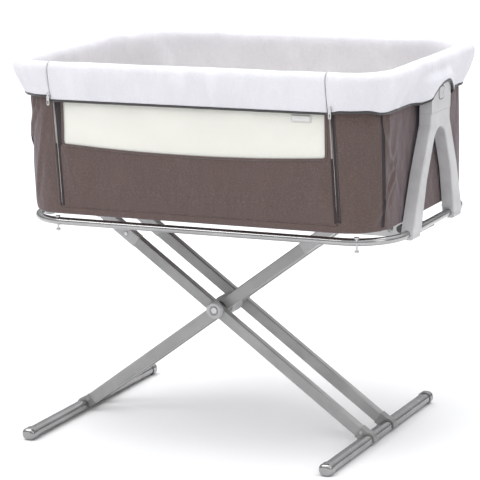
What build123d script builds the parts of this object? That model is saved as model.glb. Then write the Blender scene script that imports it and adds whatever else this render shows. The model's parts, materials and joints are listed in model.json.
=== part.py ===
from build123d import *
from math import cos, radians, sin
import os

os.makedirs("parts", exist_ok=True)

# Bassinet on a folding scissor stand. Millimetres, +Z up, floor at Z = 0.
# X runs along the basket, -Y is the side that drops open.
# The origin is on the floor under the middle of the basket.

# Whole object
RIM_L, RIM_W, RIM_TOP = 980.0, 640.0, 925.0
RIM_CORNER = 100.0
BODY_L, BODY_W, BODY_CORNER = 908.0, 600.0, 98.0
BODY_BOTTOM = 563.0

# Upper frame
TUBE_R, TUBE_WALL = 9.0, 1.2
HOOP_L, HOOP_W, HOOP_Z, HOOP_CORNER = 940.0, 548.0, 540.0, 110.0
CROSS_Z = HOOP_Z - 2 * TUBE_R - 0.1
CROSS_LEFT_X, CROSS_RIGHT_X = -368.0, 402.0
CROSS_LEFT_HALF, CROSS_RIGHT_HALF = 84.0, 26.0
BOLT_LEFT_X, BOLT_RIGHT_X = -372.0, 396.0
RUN = 0.05

# Scissor stand
THETA = 36.0
UPPER_ARM = 378.0
LEG_FACE, LEG_THICK, LEG_WALL = 29.0, 20.0, 1.2
OUTER_LEG_Y, INNER_LEG_Y = 62.0, 38.0
OUTER_HEAD, INNER_HEAD = 118.0, 104.0
AXLE_R, ROD_R = 6.0, 6.0
HUB_R = 25.0
BAR_L, BAR_W, BAR_H, BAR_Z = 640.0, 30.0, 25.0, 15.0

CT, ST = cos(radians(THETA)), sin(radians(THETA))
LOWER_ARM = (CROSS_Z - BAR_Z) / ST - UPPER_ARM
PIVOT_X = CROSS_LEFT_X + UPPER_ARM * CT
PIVOT_Z = CROSS_Z - UPPER_ARM * ST
ROD_X = PIVOT_X + UPPER_ARM * CT
BAR_LEFT_X = PIVOT_X - LOWER_ARM * CT
BAR_RIGHT_X = PIVOT_X + LOWER_ARM * CT

# End uprights
UP_X, UP_LEAN, UP_THICK = 471.5, 2.0, 30.0
HEAD_SEAM, HEAD_TOP = 262.0, 330.0
FOOT_MID, FOOT_HALF = 133.0, 28.0
TONGUE_X = 472.0
BUTTON_W, BUTTON_H, BUTTON_U = 32.0, 28.0, 304.0

# Basket
RIM_TUBE_L, RIM_TUBE_W, RIM_TUBE_Z, RIM_TUBE_CORNER = 956.0, 616.0, 913.0, 88.0
BAND_BOTTOM, HEM_BOTTOM = 838.0, 800.0
CLOTH = 2.5
GATE_L_TOP, GATE_R_TOP = -357.0, 347.0
GATE_LEAN = 14.0
GATE_BOTTOM = 580.0
WINDOW_L, WINDOW_R, WINDOW_SIDE_Z, WINDOW_MID_Z = -331.0, 336.0, 732.0, 720.5


def save(builder, name):
    builder.part.label = name
    export_step(builder.part, f"parts/{name}.step")


def plane_along_y(x, y, z):
    return Plane(origin=(x, y, z), x_dir=(1, 0, 0), z_dir=(0, -1, 0))


def outer_plane(y):
    return Plane(origin=(PIVOT_X, y, PIVOT_Z), x_dir=(-CT, 0, ST), z_dir=(0, 1, 0))


def inner_plane(y):
    return Plane(origin=(PIVOT_X, y, PIVOT_Z), x_dir=(CT, 0, ST), z_dir=(0, -1, 0))


def leg_section_plane(plane, distance):
    start = plane.from_local_coords(Vector(distance, 0, 0))
    return Plane(origin=start, x_dir=(0, 1, 0), z_dir=plane.x_dir)


# ---------------------------------------------------------------- upper frame
with BuildPart() as base_hoop:
    with BuildLine(Plane.XY.offset(HOOP_Z)) as hoop_path:
        FilletPolyline(
            (0.5, HOOP_W / 2),
            (HOOP_L / 2, HOOP_W / 2),
            (HOOP_L / 2, -HOOP_W / 2),
            (-HOOP_L / 2, -HOOP_W / 2),
            (-HOOP_L / 2, HOOP_W / 2),
            (-0.5, HOOP_W / 2),
            radius=HOOP_CORNER,
        )
    with BuildSketch(Plane(origin=(0.5, HOOP_W / 2, HOOP_Z), z_dir=(1, 0, 0))):
        Circle(TUBE_R)
        Circle(TUBE_R - TUBE_WALL, mode=Mode.SUBTRACT)
    sweep()
    with Locations(
        [(x, y, HOOP_Z) for x in (BOLT_LEFT_X, BOLT_RIGHT_X) for y in (-HOOP_W / 2, HOOP_W / 2)]
    ):
        Cylinder(2.7, 30, mode=Mode.SUBTRACT)
    with Locations([(x, y, HOOP_Z) for x in (-470, 470) for y in (-FOOT_MID, FOOT_MID)]):
        Cylinder(2.6, 44, mode=Mode.SUBTRACT)
save(base_hoop, "base_hoop")

with BuildPart() as hoop_joiner:
    with BuildSketch(Plane(origin=(-30, HOOP_W / 2, HOOP_Z), z_dir=(1, 0, 0))):
        Circle(TUBE_R - TUBE_WALL - 0.02)
        Circle(TUBE_R - 2 * TUBE_WALL, mode=Mode.SUBTRACT)
    extrude(amount=60)
save(hoop_joiner, "hoop_joiner")

CROSS_TUBES = (
    ("left", CROSS_LEFT_X, CROSS_LEFT_HALF),
    ("right", CROSS_RIGHT_X, CROSS_RIGHT_HALF),
)

for side, cross_x, half in CROSS_TUBES:
    with BuildPart() as cross_tube:
        with BuildSketch(plane_along_y(cross_x, 0, CROSS_Z)):
            Circle(TUBE_R)
            Circle(TUBE_R - TUBE_WALL, mode=Mode.SUBTRACT)
        extrude(amount=half, both=True)
    save(cross_tube, f"cross_tube_{side}")

with BuildPart() as cross_tube_caps:
    for side, cross_x, half in CROSS_TUBES:
        for y in (-1, 1):
            cap_plane = Plane(
                origin=(cross_x, y * half, CROSS_Z), x_dir=(1, 0, 0), z_dir=(0, y, 0)
            )
            with BuildSketch(cap_plane):
                Circle(TUBE_R)
            extrude(amount=3)
            with BuildSketch(cap_plane):
                Circle(TUBE_R - TUBE_WALL - 0.02)
            extrude(amount=-3.5)
save(cross_tube_caps, "cross_tube_caps")

# Bolts through the front and rear runs of the hoop, with their nuts hanging below
with BuildPart() as hoop_bolts:
    with Locations(
        [(x, y, 0) for x in (BOLT_LEFT_X, BOLT_RIGHT_X) for y in (-HOOP_W / 2, HOOP_W / 2)]
    ):
        with Locations((0, 0, HOOP_Z + TUBE_R + 0.02)):
            Cylinder(6.0, 3.6, align=(Align.CENTER, Align.CENTER, Align.MIN))
        with Locations((0, 0, HOOP_Z - 24)):
            Cylinder(2.6, 35, align=(Align.CENTER, Align.CENTER, Align.MIN))
save(hoop_bolts, "hoop_bolts")

with BuildPart() as hoop_bolt_nuts:
    with Locations(
        [
            (x, y, HOOP_Z - 22.5)
            for x in (BOLT_LEFT_X, BOLT_RIGHT_X)
            for y in (-HOOP_W / 2, HOOP_W / 2)
        ]
    ):
        Cylinder(5.5, 4.0, align=(Align.CENTER, Align.CENTER, Align.MIN))
        Cylinder(2.62, 20, mode=Mode.SUBTRACT)
save(hoop_bolt_nuts, "hoop_bolt_nuts")

# Two plates under the middle of the hoop carry the stand; their ends cradle the hoop's end runs
with BuildPart() as height_rails:
    for y in (-18, 15):
        with BuildSketch(Plane(origin=(0, y, 0), x_dir=(1, 0, 0), z_dir=(0, -1, 0))):
            with BuildLine():
                Polyline(
                    (-HOOP_L / 2, HOOP_Z),
                    (-HOOP_L / 2 + 15, HOOP_Z),
                    (-HOOP_L / 2 + 26, CROSS_Z + 13),
                    (HOOP_L / 2 - 26, CROSS_Z + 13),
                    (HOOP_L / 2 - 15, HOOP_Z),
                    (HOOP_L / 2, HOOP_Z),
                    (HOOP_L / 2, HOOP_Z - 13),
                    (HOOP_L / 2 - 30, CROSS_Z - 12),
                    (ROD_X + 140, CROSS_Z - 22),
                    (ROD_X - 20, CROSS_Z - 22),
                    (ROD_X - 60, CROSS_Z - 12),
                    (-HOOP_L / 2 + 30, CROSS_Z - 12),
                    (-HOOP_L / 2, HOOP_Z - 13),
                    close=True,
                )
            make_face()
            with Locations((-HOOP_L / 2, HOOP_Z), (HOOP_L / 2, HOOP_Z)):
                Circle(TUBE_R + 0.02, mode=Mode.SUBTRACT)
            with Locations((CROSS_LEFT_X, CROSS_Z), (CROSS_RIGHT_X, CROSS_Z)):
                Circle(TUBE_R + 0.02, mode=Mode.SUBTRACT)
            with BuildLine():
                Polyline(
                    (ROD_X - 0.4, CROSS_Z - 6.4),
                    (ROD_X + 131, CROSS_Z - 6.4),
                    (ROD_X + 131, CROSS_Z + 6.4),
                    (ROD_X - 0.4, CROSS_Z + 6.4),
                    close=True,
                )
            make_face(mode=Mode.SUBTRACT)
            with Locations((ROD_X - 0.4, CROSS_Z), (ROD_X + 131, CROSS_Z)):
                Circle(6.4, mode=Mode.SUBTRACT)
            with Locations([(ROD_X + 26 * i, CROSS_Z - 5) for i in range(6)]):
                Circle(6.4, mode=Mode.SUBTRACT)
        extrude(amount=-3)
save(height_rails, "height_rails")


# ---------------------------------------------------------------- end uprights
def upright_plane(side):
    lean = radians(UP_LEAN)
    return Plane(
        origin=(side * UP_X, 0, HOOP_Z),
        x_dir=(0, side, 0),
        z_dir=(side * cos(lean), 0, -sin(lean)),
    )


for name, side in (("left", -1), ("right", 1)):
    base = upright_plane(side)
    with BuildPart() as end_upright:
        with BuildSketch(base) as outline:
            with BuildLine():
                Polyline((38, 200), (78, 112), (106, 0), (160, 0), (112, 128), (60, 236), (60, HEAD_SEAM))
                Polyline((60, HEAD_SEAM), (-60, HEAD_SEAM), (-60, 236), (-112, 128), (-160, 0))
                Polyline((-160, 0), (-106, 0), (-78, 112), (-38, 200))
                ThreePointArc((-38, 200), (0, 224), (38, 200))
            make_face()
            bends = outline.vertices().filter_by(
                lambda v: 50 < base.to_local_coords(v.center()).Y < 190
                or 230 < base.to_local_coords(v.center()).Y < 240
            )
            fillet(bends, 22)
        extrude(amount=UP_THICK / 2, both=True)
        outer_face = end_upright.faces().filter_by(
            lambda f: abs(base.to_local_coords(f.center()).Z - UP_THICK / 2) < 0.1
        )
        rounded = outer_face[0].edges().filter_by(
            lambda e: 3 < base.to_local_coords(e.center()).Y < HEAD_SEAM - 3
        )
        fillet(rounded, 4)
        with BuildSketch(base.offset(-UP_THICK / 2)):
            for s in (-1, 1):
                with BuildLine():
                    Polyline(
                        (s * 56, 226),
                        (s * 45, 212),
                        (s * 83, 114),
                        (s * 106, 26),
                        (s * 145, 26),
                        (s * 107, 125),
                        close=True,
                    )
                make_face()
        extrude(amount=UP_THICK - 6, mode=Mode.SUBTRACT)
        with Locations([(side * 470, y, HOOP_Z) for y in (-FOOT_MID, FOOT_MID)]):
            Cylinder(TUBE_R + 0.02, 90, rotation=(90, 0, 0), mode=Mode.SUBTRACT)
            Cylinder(2.52, 44, mode=Mode.SUBTRACT)
    save(end_upright, f"end_upright_{name}")

    with BuildPart() as upright_head:
        with BuildSketch(base):
            with BuildLine():
                Polyline(
                    (-60, HEAD_SEAM + 0.3),
                    (60, HEAD_SEAM + 0.3),
                    (60, HEAD_TOP),
                    (-60, HEAD_TOP),
                    close=True,
                )
            make_face()
        extrude(amount=UP_THICK / 2, both=True)
        corners = upright_head.edges().filter_by(Axis((0, 0, 0), tuple(base.z_dir)))
        fillet(corners.filter_by(lambda e: e.center().Z > HOOP_Z + HEAD_TOP - 15), 9)
        with BuildSketch(base.offset(UP_THICK / 2)):
            with Locations((0, BUTTON_U)):
                RectangleRounded(BUTTON_W + 0.7, BUTTON_H + 0.7, 9.35)
        extrude(amount=-19, mode=Mode.SUBTRACT)
        with Locations((side * TONGUE_X, 0, HOOP_Z + HEAD_TOP - 8)):
            Box(6, 50, 24, align=(Align.CENTER, Align.CENTER, Align.MIN))
        with Locations(base.location):
            with Locations((-40, HEAD_SEAM + 40, 0), (40, HEAD_SEAM + 40, 0)):
                Box(28, 62, UP_THICK - 8, mode=Mode.SUBTRACT)
    save(upright_head, f"upright_head_{name}")

    with BuildPart() as release_button:
        with BuildSketch(base.offset(UP_THICK / 2 - 9)):
            with Locations((0, BUTTON_U)):
                RectangleRounded(BUTTON_W, BUTTON_H, 9)
        extrude(amount=10.5)
        front = release_button.faces().sort_by(Axis((0, 0, 0), (side, 0, 0)))[-1]
        fillet(front.edges(), 1.5)
        with BuildSketch(base.offset(UP_THICK / 2 + 1.5)):
            with Locations((0, BUTTON_U)):
                RectangleRounded(BUTTON_W - 14, BUTTON_H - 14, 6)
        extrude(amount=-0.8, mode=Mode.SUBTRACT)
    save(release_button, f"release_button_{name}")

with BuildPart() as button_springs:
    for side in (-1, 1):
        spring_plane = upright_plane(side).offset(UP_THICK / 2 - 18.6)
        with BuildSketch(spring_plane):
            with Locations((0, BUTTON_U)):
                Circle(5)
                Circle(3.8, mode=Mode.SUBTRACT)
        extrude(amount=5)
save(button_springs, "button_springs")

with BuildPart() as tube_clamps:
    for x in (-470, 470):
        for y in (-FOOT_MID, FOOT_MID):
            with BuildSketch(Plane(origin=(x, y, 0), x_dir=(1, 0, 0), z_dir=(0, -1, 0))):
                with Locations((0, HOOP_Z - 7.4)):
                    Rectangle(28, 12.4)
                with Locations((0, HOOP_Z)):
                    Circle(TUBE_R + 0.02, mode=Mode.SUBTRACT)
            extrude(amount=FOOT_HALF - 4, both=True)
    fillet(tube_clamps.edges().filter_by(Axis.Y).group_by(Axis.Z)[0], 4)
    with Locations([(x, y, HOOP_Z - 8) for x in (-470, 470) for y in (-FOOT_MID, FOOT_MID)]):
        Cylinder(2.52, 30, mode=Mode.SUBTRACT)
save(tube_clamps, "tube_clamps")

with BuildPart() as clamp_screws:
    with Locations([(x, y, HOOP_Z - 13.8) for x in (-470, 470) for y in (-FOOT_MID, FOOT_MID)]):
        Cylinder(2.5, 34, align=(Align.CENTER, Align.CENTER, Align.MIN))
        Cylinder(5, 3.4, align=(Align.CENTER, Align.CENTER, Align.MAX))
save(clamp_screws, "clamp_screws")


# ---------------------------------------------------------------- scissor legs
def leg_tube(plane, head_length):
    with BuildPart() as tube:
        with BuildSketch(leg_section_plane(plane, -LOWER_ARM + 30)):
            RectangleRounded(LEG_THICK, LEG_FACE, 4)
            RectangleRounded(LEG_THICK - 2 * LEG_WALL, LEG_FACE - 2 * LEG_WALL, 2.8, mode=Mode.SUBTRACT)
        extrude(amount=LOWER_ARM - 30 + UPPER_ARM - head_length)
        with BuildSketch(plane):
            Circle(AXLE_R + RUN)
        extrude(amount=LEG_THICK, both=True, mode=Mode.SUBTRACT)
    return tube


def leg_head(plane, head_length, bore):
    start = UPPER_ARM - head_length
    with BuildPart() as head:
        with BuildSketch(plane):
            with BuildLine():
                Polyline(
                    (start + 0.1, -LEG_FACE / 2 - 0.8),
                    (start + 64, -LEG_FACE / 2 - 0.8),
                    (UPPER_ARM, -14),
                    (UPPER_ARM, 14),
                    (start + 64, LEG_FACE / 2 + 0.8),
                    (start + 0.1, LEG_FACE / 2 + 0.8),
                    close=True,
                )
            make_face()
            with Locations((UPPER_ARM, 0)):
                Circle(14)
        extrude(amount=LEG_THICK / 2 + 0.6, both=True)
        rims = head.faces().filter_by(Axis.Y).edges()
        fillet(rims.filter_by(lambda e: plane.to_local_coords(e.center()).X > start + 5), 3)
        with BuildSketch(leg_section_plane(plane, start - 30)):
            RectangleRounded(
                LEG_THICK - 2 * LEG_WALL - 0.1, LEG_FACE - 2 * LEG_WALL - 0.1, 2.9
            )
        extrude(amount=32)
        with BuildSketch(plane):
            with Locations((UPPER_ARM, 0)):
                Circle(bore)
        extrude(amount=LEG_THICK, both=True, mode=Mode.SUBTRACT)
    return head


def leg_saddle(plane):
    with BuildPart() as saddle:
        with BuildSketch(plane):
            with Locations((-LOWER_ARM + 12, 0)):
                Rectangle(35.6, LEG_FACE + 1.2)
            with Locations((-LOWER_ARM, 0)):
                Circle(18.2)
        extrude(amount=LEG_THICK / 2 + 0.6, both=True)
        with BuildSketch(leg_section_plane(plane, -LOWER_ARM + 28)):
            RectangleRounded(
                LEG_THICK - 2 * LEG_WALL - 0.1, LEG_FACE - 2 * LEG_WALL - 0.1, 2.9
            )
        extrude(amount=32)
        with Locations(plane.from_local_coords(Vector(-LOWER_ARM, 0, 0))):
            with Locations((0, 0, -6)):
                Box(120, 60, 40, align=(Align.CENTER, Align.CENTER, Align.MAX), mode=Mode.SUBTRACT)
        with BuildSketch(Plane(origin=plane.from_local_coords(Vector(-LOWER_ARM, 0, 0)), x_dir=(1, 0, 0), z_dir=(0, -1, 0))):
            RectangleRounded(BAR_W + 0.04, BAR_H + 0.04, 11)
        extrude(amount=40, both=True, mode=Mode.SUBTRACT)
    return saddle


LEGS = (
    ("outer_leg", outer_plane, OUTER_LEG_Y, OUTER_HEAD, TUBE_R + RUN),
    ("inner_leg", inner_plane, INNER_LEG_Y, INNER_HEAD, ROD_R + 0.02),
)

for name, make_plane, leg_y, head_length, bore in LEGS:
    front_tube = leg_tube(make_plane(-leg_y), head_length)
    save(front_tube, f"{name}_front")
    rear_tube = leg_tube(make_plane(leg_y), head_length)
    save(rear_tube, f"{name}_rear")

    front_head = leg_head(make_plane(-leg_y), head_length, bore)
    rear_head = leg_head(make_plane(leg_y), head_length, bore)
    with BuildPart() as leg_heads:
        add(front_head.part)
        add(rear_head.part)
    save(leg_heads, f"{name}_heads")

    front_saddle = leg_saddle(make_plane(-leg_y))
    rear_saddle = leg_saddle(make_plane(leg_y))
    with BuildPart() as leg_saddles:
        add(front_saddle.part)
        add(rear_saddle.part)
    save(leg_saddles, f"{name}_saddles")

    with BuildPart() as leg_screws:
        for s in (-1, 1):
            face = make_plane(s * leg_y)
            out = Plane(
                origin=face.from_local_coords(Vector(UPPER_ARM - head_length + 34, 0, 0)),
                x_dir=(1, 0, 0),
                z_dir=(0, s, 0),
            )
            with BuildSketch(out.offset(LEG_THICK / 2 + 0.6)):
                Circle(4.5)
            extrude(amount=2)
            low = Plane(
                origin=face.from_local_coords(Vector(-LOWER_ARM + 22, 4, 0)),
                x_dir=(1, 0, 0),
                z_dir=(0, s, 0),
            )
            with BuildSketch(low.offset(LEG_THICK / 2 + 0.6)):
                Circle(4)
            extrude(amount=2)
    save(leg_screws, f"{name}_screws")

with BuildPart() as scissor_axle:
    with Locations((PIVOT_X, 0, PIVOT_Z)):
        Cylinder(AXLE_R, 2 * (OUTER_LEG_Y + 16), rotation=(90, 0, 0))
save(scissor_axle, "scissor_axle")

with BuildPart() as pivot_washers:
    for s in (-1, 1):
        with BuildSketch(Plane(origin=(PIVOT_X, s * 50, PIVOT_Z), x_dir=(1, 0, 0), z_dir=(0, 1, 0))):
            Circle(16)
            Circle(AXLE_R + 0.02, mode=Mode.SUBTRACT)
        extrude(amount=1.8, both=True)
save(pivot_washers, "pivot_washers")

with BuildPart() as pivot_caps:
    for s in (-1, 1):
        cap_face = Plane(
            origin=(PIVOT_X, s * (OUTER_LEG_Y + LEG_THICK / 2 + 0.1), PIVOT_Z),
            x_dir=(1, 0, 0),
            z_dir=(0, s, 0),
        )
        with BuildSketch(cap_face):
            Circle(21.5)
            Circle(AXLE_R + 0.02, mode=Mode.SUBTRACT)
        extrude(amount=6)
        with BuildSketch(cap_face.offset(6)):
            Circle(21.5)
            Circle(9, mode=Mode.SUBTRACT)
        extrude(amount=5, taper=35)
save(pivot_caps, "pivot_caps")

with BuildPart() as pivot_nuts:
    for s in (-1, 1):
        nut_face = Plane(
            origin=(PIVOT_X, s * (OUTER_LEG_Y + LEG_THICK / 2 + 6.2), PIVOT_Z),
            x_dir=(1, 0, 0),
            z_dir=(0, s, 0),
        )
        with BuildSketch(nut_face):
            Circle(7.5)
        extrude(amount=3)
        with BuildSketch(nut_face):
            Circle(AXLE_R + 0.02)
        extrude(amount=-0.1, mode=Mode.SUBTRACT)
save(pivot_nuts, "pivot_nuts")

with BuildPart() as pivot_hub:
    with BuildSketch(plane_along_y(PIVOT_X, 0, PIVOT_Z)):
        Circle(HUB_R)
        Circle(AXLE_R + RUN, mode=Mode.SUBTRACT)
    extrude(amount=INNER_LEG_Y - LEG_THICK / 2 - 0.2, both=True)
    fillet(pivot_hub.faces().filter_by(Axis.Y).edges().filter_by(lambda e: e.radius > 20), 1.5)
save(pivot_hub, "pivot_hub")

with BuildPart() as height_rod:
    with Locations((ROD_X, 0, CROSS_Z)):
        Cylinder(ROD_R, 2 * (INNER_LEG_Y + LEG_THICK / 2), rotation=(90, 0, 0))
save(height_rod, "height_rod")

for name, bar_x in (("left", BAR_LEFT_X), ("right", BAR_RIGHT_X)):
    with BuildPart() as foot_bar:
        with BuildSketch(plane_along_y(bar_x, 0, BAR_Z)):
            RectangleRounded(BAR_W, BAR_H, 11)
            RectangleRounded(BAR_W - 3.2, BAR_H - 3.2, 9.4, mode=Mode.SUBTRACT)
        extrude(amount=BAR_L / 2 - 18, both=True)
    save(foot_bar, f"foot_bar_{name}")

    with BuildPart() as foot_caps:
        for s in (-1, 1):
            end = Plane(
                origin=(bar_x, s * (BAR_L / 2 - 18), BAR_Z), x_dir=(1, 0, 0), z_dir=(0, s, 0)
            )
            with BuildSketch(end):
                RectangleRounded(BAR_W + 5, 2 * BAR_Z, 14)
            extrude(amount=24)
            with BuildSketch(end):
                RectangleRounded(BAR_W - 3.4, BAR_H - 3.4, 9.3)
            extrude(amount=-22)
        tips = foot_caps.faces().filter_by(Axis.Y).filter_by(lambda f: abs(f.center().Y) > BAR_L / 2 + 2)
        fillet(tips.edges(), 9)
    save(foot_caps, f"foot_caps_{name}")


# ---------------------------------------------------------------- basket frame
with BuildPart() as rim_tube:
    with BuildLine(Plane.XY.offset(RIM_TUBE_Z)) as rim_path:
        FilletPolyline(
            (GATE_L_TOP - 1, -RIM_TUBE_W / 2),
            (-RIM_TUBE_L / 2, -RIM_TUBE_W / 2),
            (-RIM_TUBE_L / 2, RIM_TUBE_W / 2),
            (RIM_TUBE_L / 2, RIM_TUBE_W / 2),
            (RIM_TUBE_L / 2, -RIM_TUBE_W / 2),
            (GATE_R_TOP + 1, -RIM_TUBE_W / 2),
            radius=RIM_TUBE_CORNER,
        )
    with BuildSketch(
        Plane(origin=(GATE_L_TOP - 1, -RIM_TUBE_W / 2, RIM_TUBE_Z), z_dir=(-1, 0, 0))
    ):
        Circle(TUBE_R)
        Circle(TUBE_R - TUBE_WALL, mode=Mode.SUBTRACT)
    sweep()
save(rim_tube, "rim_tube")

with BuildPart() as front_rail:
    with BuildSketch(
        Plane(origin=(GATE_L_TOP + 1.5, -RIM_TUBE_W / 2, RIM_TUBE_Z), z_dir=(1, 0, 0))
    ):
        Circle(TUBE_R)
        Circle(TUBE_R - TUBE_WALL, mode=Mode.SUBTRACT)
    extrude(amount=GATE_R_TOP - GATE_L_TOP - 3)
save(front_rail, "front_rail")

with BuildPart() as rim_end_plugs:
    for x, d in ((GATE_L_TOP - 1, -1), (GATE_R_TOP + 1, 1)):
        end = Plane(origin=(x, -RIM_TUBE_W / 2, RIM_TUBE_Z), z_dir=(d, 0, 0))
        with BuildSketch(end.offset(-0.9)):
            Circle(TUBE_R - 0.2)
        extrude(amount=0.9)
        with BuildSketch(end):
            Circle(TUBE_R - TUBE_WALL - 0.02)
        extrude(amount=22)
save(rim_end_plugs, "rim_end_plugs")

with BuildPart() as front_rail_plugs:
    for x, d in ((GATE_L_TOP + 1.5, 1), (GATE_R_TOP - 1.5, -1)):
        end = Plane(origin=(x, -RIM_TUBE_W / 2, RIM_TUBE_Z), z_dir=(d, 0, 0))
        with BuildSketch(end.offset(-0.9)):
            Circle(TUBE_R - 0.2)
        extrude(amount=0.9)
        with BuildSketch(end):
            Circle(TUBE_R - TUBE_WALL - 0.02)
        extrude(amount=22)
save(front_rail_plugs, "front_rail_plugs")

BRACKET_Z = HOOP_Z + HEAD_TOP + 1.0
with BuildPart() as rim_brackets:
    for side in (-1, 1):
        with BuildSketch(Plane(origin=(0, 0, 0), x_dir=(1, 0, 0), z_dir=(0, -1, 0))):
            with BuildLine():
                Polyline(
                    (side * 463, BRACKET_Z),
                    (side * 477.5, BRACKET_Z),
                    (side * 477.5, 879),
                    (side * 485, 897),
                    (side * 485, RIM_TUBE_Z),
                    (side * 467, RIM_TUBE_Z),
                    close=True,
                )
            make_face()
        extrude(amount=39, both=True)
        with Locations((side * TONGUE_X, 0, BRACKET_Z)):
            Box(7, 51, 16.6, align=(Align.CENTER, Align.CENTER, Align.MIN), mode=Mode.SUBTRACT)
        with Locations((side * RIM_TUBE_L / 2, 0, RIM_TUBE_Z)):
            Cylinder(TUBE_R + 0.02, 90, rotation=(90, 0, 0), mode=Mode.SUBTRACT)
save(rim_brackets, "rim_brackets")


# ---------------------------------------------------------------- basket fabric
def gate_outline(gap, low, high):
    def edge(x_top, z):
        return x_top + GATE_LEAN * (RIM_TUBE_Z - z) / (RIM_TUBE_Z - GATE_BOTTOM)

    return [
        (edge(GATE_L_TOP, high) - gap, high),
        (edge(GATE_R_TOP, high) + gap, high),
        (edge(GATE_R_TOP, low) + gap, low),
        (edge(GATE_L_TOP, low) - gap, low),
    ]


FRONT_VIEW = Plane(origin=(0, -260, 0), x_dir=(1, 0, 0), z_dir=(0, -1, 0))
BODY_TOP = 902.0

with BuildPart() as basket_fabric:
    with BuildSketch(Plane.XY.offset(BODY_BOTTOM)):
        RectangleRounded(BODY_L, BODY_W, BODY_CORNER)
    extrude(amount=BODY_TOP - BODY_BOTTOM)
    fillet(basket_fabric.edges().group_by(Axis.Z)[0], 6)
    with BuildSketch(Plane.XY.offset(BODY_BOTTOM + CLOTH)):
        RectangleRounded(BODY_L - 2 * CLOTH, BODY_W - 2 * CLOTH, BODY_CORNER - CLOTH)
    extrude(amount=BODY_TOP, mode=Mode.SUBTRACT)
    with BuildSketch(FRONT_VIEW):
        with BuildLine():
            Polyline(*gate_outline(0.8, GATE_BOTTOM - 0.5, BODY_TOP + 20), close=True)
        make_face()
    extrude(amount=80, mode=Mode.SUBTRACT)
save(basket_fabric, "basket_fabric")

LINING = CLOTH + 0.4
with BuildPart() as basket_lining:
    with BuildSketch(Plane.XY.offset(BODY_BOTTOM + LINING)):
        RectangleRounded(BODY_L - 2 * LINING, BODY_W - 2 * LINING, BODY_CORNER - LINING)
    extrude(amount=BODY_TOP - 4 - BODY_BOTTOM - LINING)
    with BuildSketch(Plane.XY.offset(BODY_BOTTOM + LINING + 1.2)):
        RectangleRounded(
            BODY_L - 2 * LINING - 2.4, BODY_W - 2 * LINING - 2.4, BODY_CORNER - LINING - 1.2
        )
    extrude(amount=BODY_TOP, mode=Mode.SUBTRACT)
    with BuildSketch(FRONT_VIEW):
        with BuildLine():
            Polyline(*gate_outline(8, GATE_BOTTOM - 3, BODY_TOP + 20), close=True)
        make_face()
    extrude(amount=80, mode=Mode.SUBTRACT)
save(basket_lining, "basket_lining")

with BuildPart() as base_board:
    with BuildSketch(Plane.XY.offset(BODY_BOTTOM + 4.4)):
        RectangleRounded(BODY_L - 16, BODY_W - 16, BODY_CORNER - 8)
    extrude(amount=5.6)
save(base_board, "base_board")

with BuildPart() as mattress:
    with BuildSketch(Plane.XY.offset(BODY_BOTTOM + 10.4)):
        RectangleRounded(BODY_L - 26, BODY_W - 26, BODY_CORNER - 13)
    extrude(amount=42)
    fillet(mattress.faces().filter_by(Axis.Z).edges(), 16)
save(mattress, "mattress")

# Rim cover: a folded cloth ring over the tube, with a deep outer band and a hem inside
with BuildPart() as cover_ring:
    with BuildSketch(Plane.XY.offset(BAND_BOTTOM)):
        RectangleRounded(924, 618, 92)
    with BuildSketch(Plane.XY.offset(900)):
        RectangleRounded(RIM_L, RIM_W, RIM_CORNER)
    loft()
    with BuildSketch(Plane.XY.offset(900)):
        RectangleRounded(RIM_L, RIM_W, RIM_CORNER)
    extrude(amount=RIM_TOP - 900)
    fillet(cover_ring.edges().group_by(Axis.Z)[-1], 9)

with BuildPart() as cover_hollow:
    with BuildSketch(Plane.XY.offset(BAND_BOTTOM)):
        RectangleRounded(924 - 2 * CLOTH, 618 - 2 * CLOTH, 92 - CLOTH)
    with BuildSketch(Plane.XY.offset(900)):
        RectangleRounded(RIM_L - 2 * CLOTH, RIM_W - 2 * CLOTH, RIM_CORNER - CLOTH)
    loft()
    with BuildSketch(Plane.XY.offset(900)):
        RectangleRounded(RIM_L - 2 * CLOTH, RIM_W - 2 * CLOTH, RIM_CORNER - CLOTH)
    extrude(amount=RIM_TOP - CLOTH - 900)
    fillet(cover_hollow.edges().group_by(Axis.Z)[-1], 6.5)

with BuildPart() as cover_shell:
    add(cover_ring.part)
    add(cover_hollow.part, mode=Mode.SUBTRACT)
    with BuildSketch(Plane.XY.offset(RIM_TOP - 12)):
        RectangleRounded(BODY_L - 14, BODY_W - 14, BODY_CORNER - 7)
    extrude(amount=30, mode=Mode.SUBTRACT)
    with BuildSketch(Plane.XY.offset(HEM_BOTTOM)):
        RectangleRounded(BODY_L - 14, BODY_W - 14, BODY_CORNER - 7)
        RectangleRounded(BODY_L - 18, BODY_W - 18, BODY_CORNER - 9, mode=Mode.SUBTRACT)
    extrude(amount=RIM_TOP - HEM_BOTTOM)
    for side in (-1, 1):
        with Locations((side * 487, 0, 700)):
            Box(60, 126, 180, align=(Align.CENTER, Align.CENTER, Align.MIN), mode=Mode.SUBTRACT)

with BuildPart() as rim_cover:
    add(cover_shell.part)
    with Locations(((GATE_L_TOP + GATE_R_TOP) / 2, -300, 850)):
        Box(GATE_R_TOP - GATE_L_TOP + 1, 90, 200, mode=Mode.SUBTRACT)
save(rim_cover, "rim_cover")

with BuildPart() as front_rail_cover:
    add(cover_shell.part)
    with Locations(((GATE_L_TOP + GATE_R_TOP) / 2, -300, 850)):
        Box(GATE_R_TOP - GATE_L_TOP - 3, 90, 200, mode=Mode.INTERSECT)
    with Locations((GATE_L_TOP, -261, 803)):
        Box(13, 80, 200, mode=Mode.SUBTRACT)
save(front_rail_cover, "front_rail_cover")

# Piping: a round cord along the lower edge of the band
PIPE_R = 2.4
PIPE_X, PIPE_Y, PIPE_CORNER = 461.0, 307.8, 90.0
PIPE_Z = BAND_BOTTOM - PIPE_R - 0.05

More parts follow.
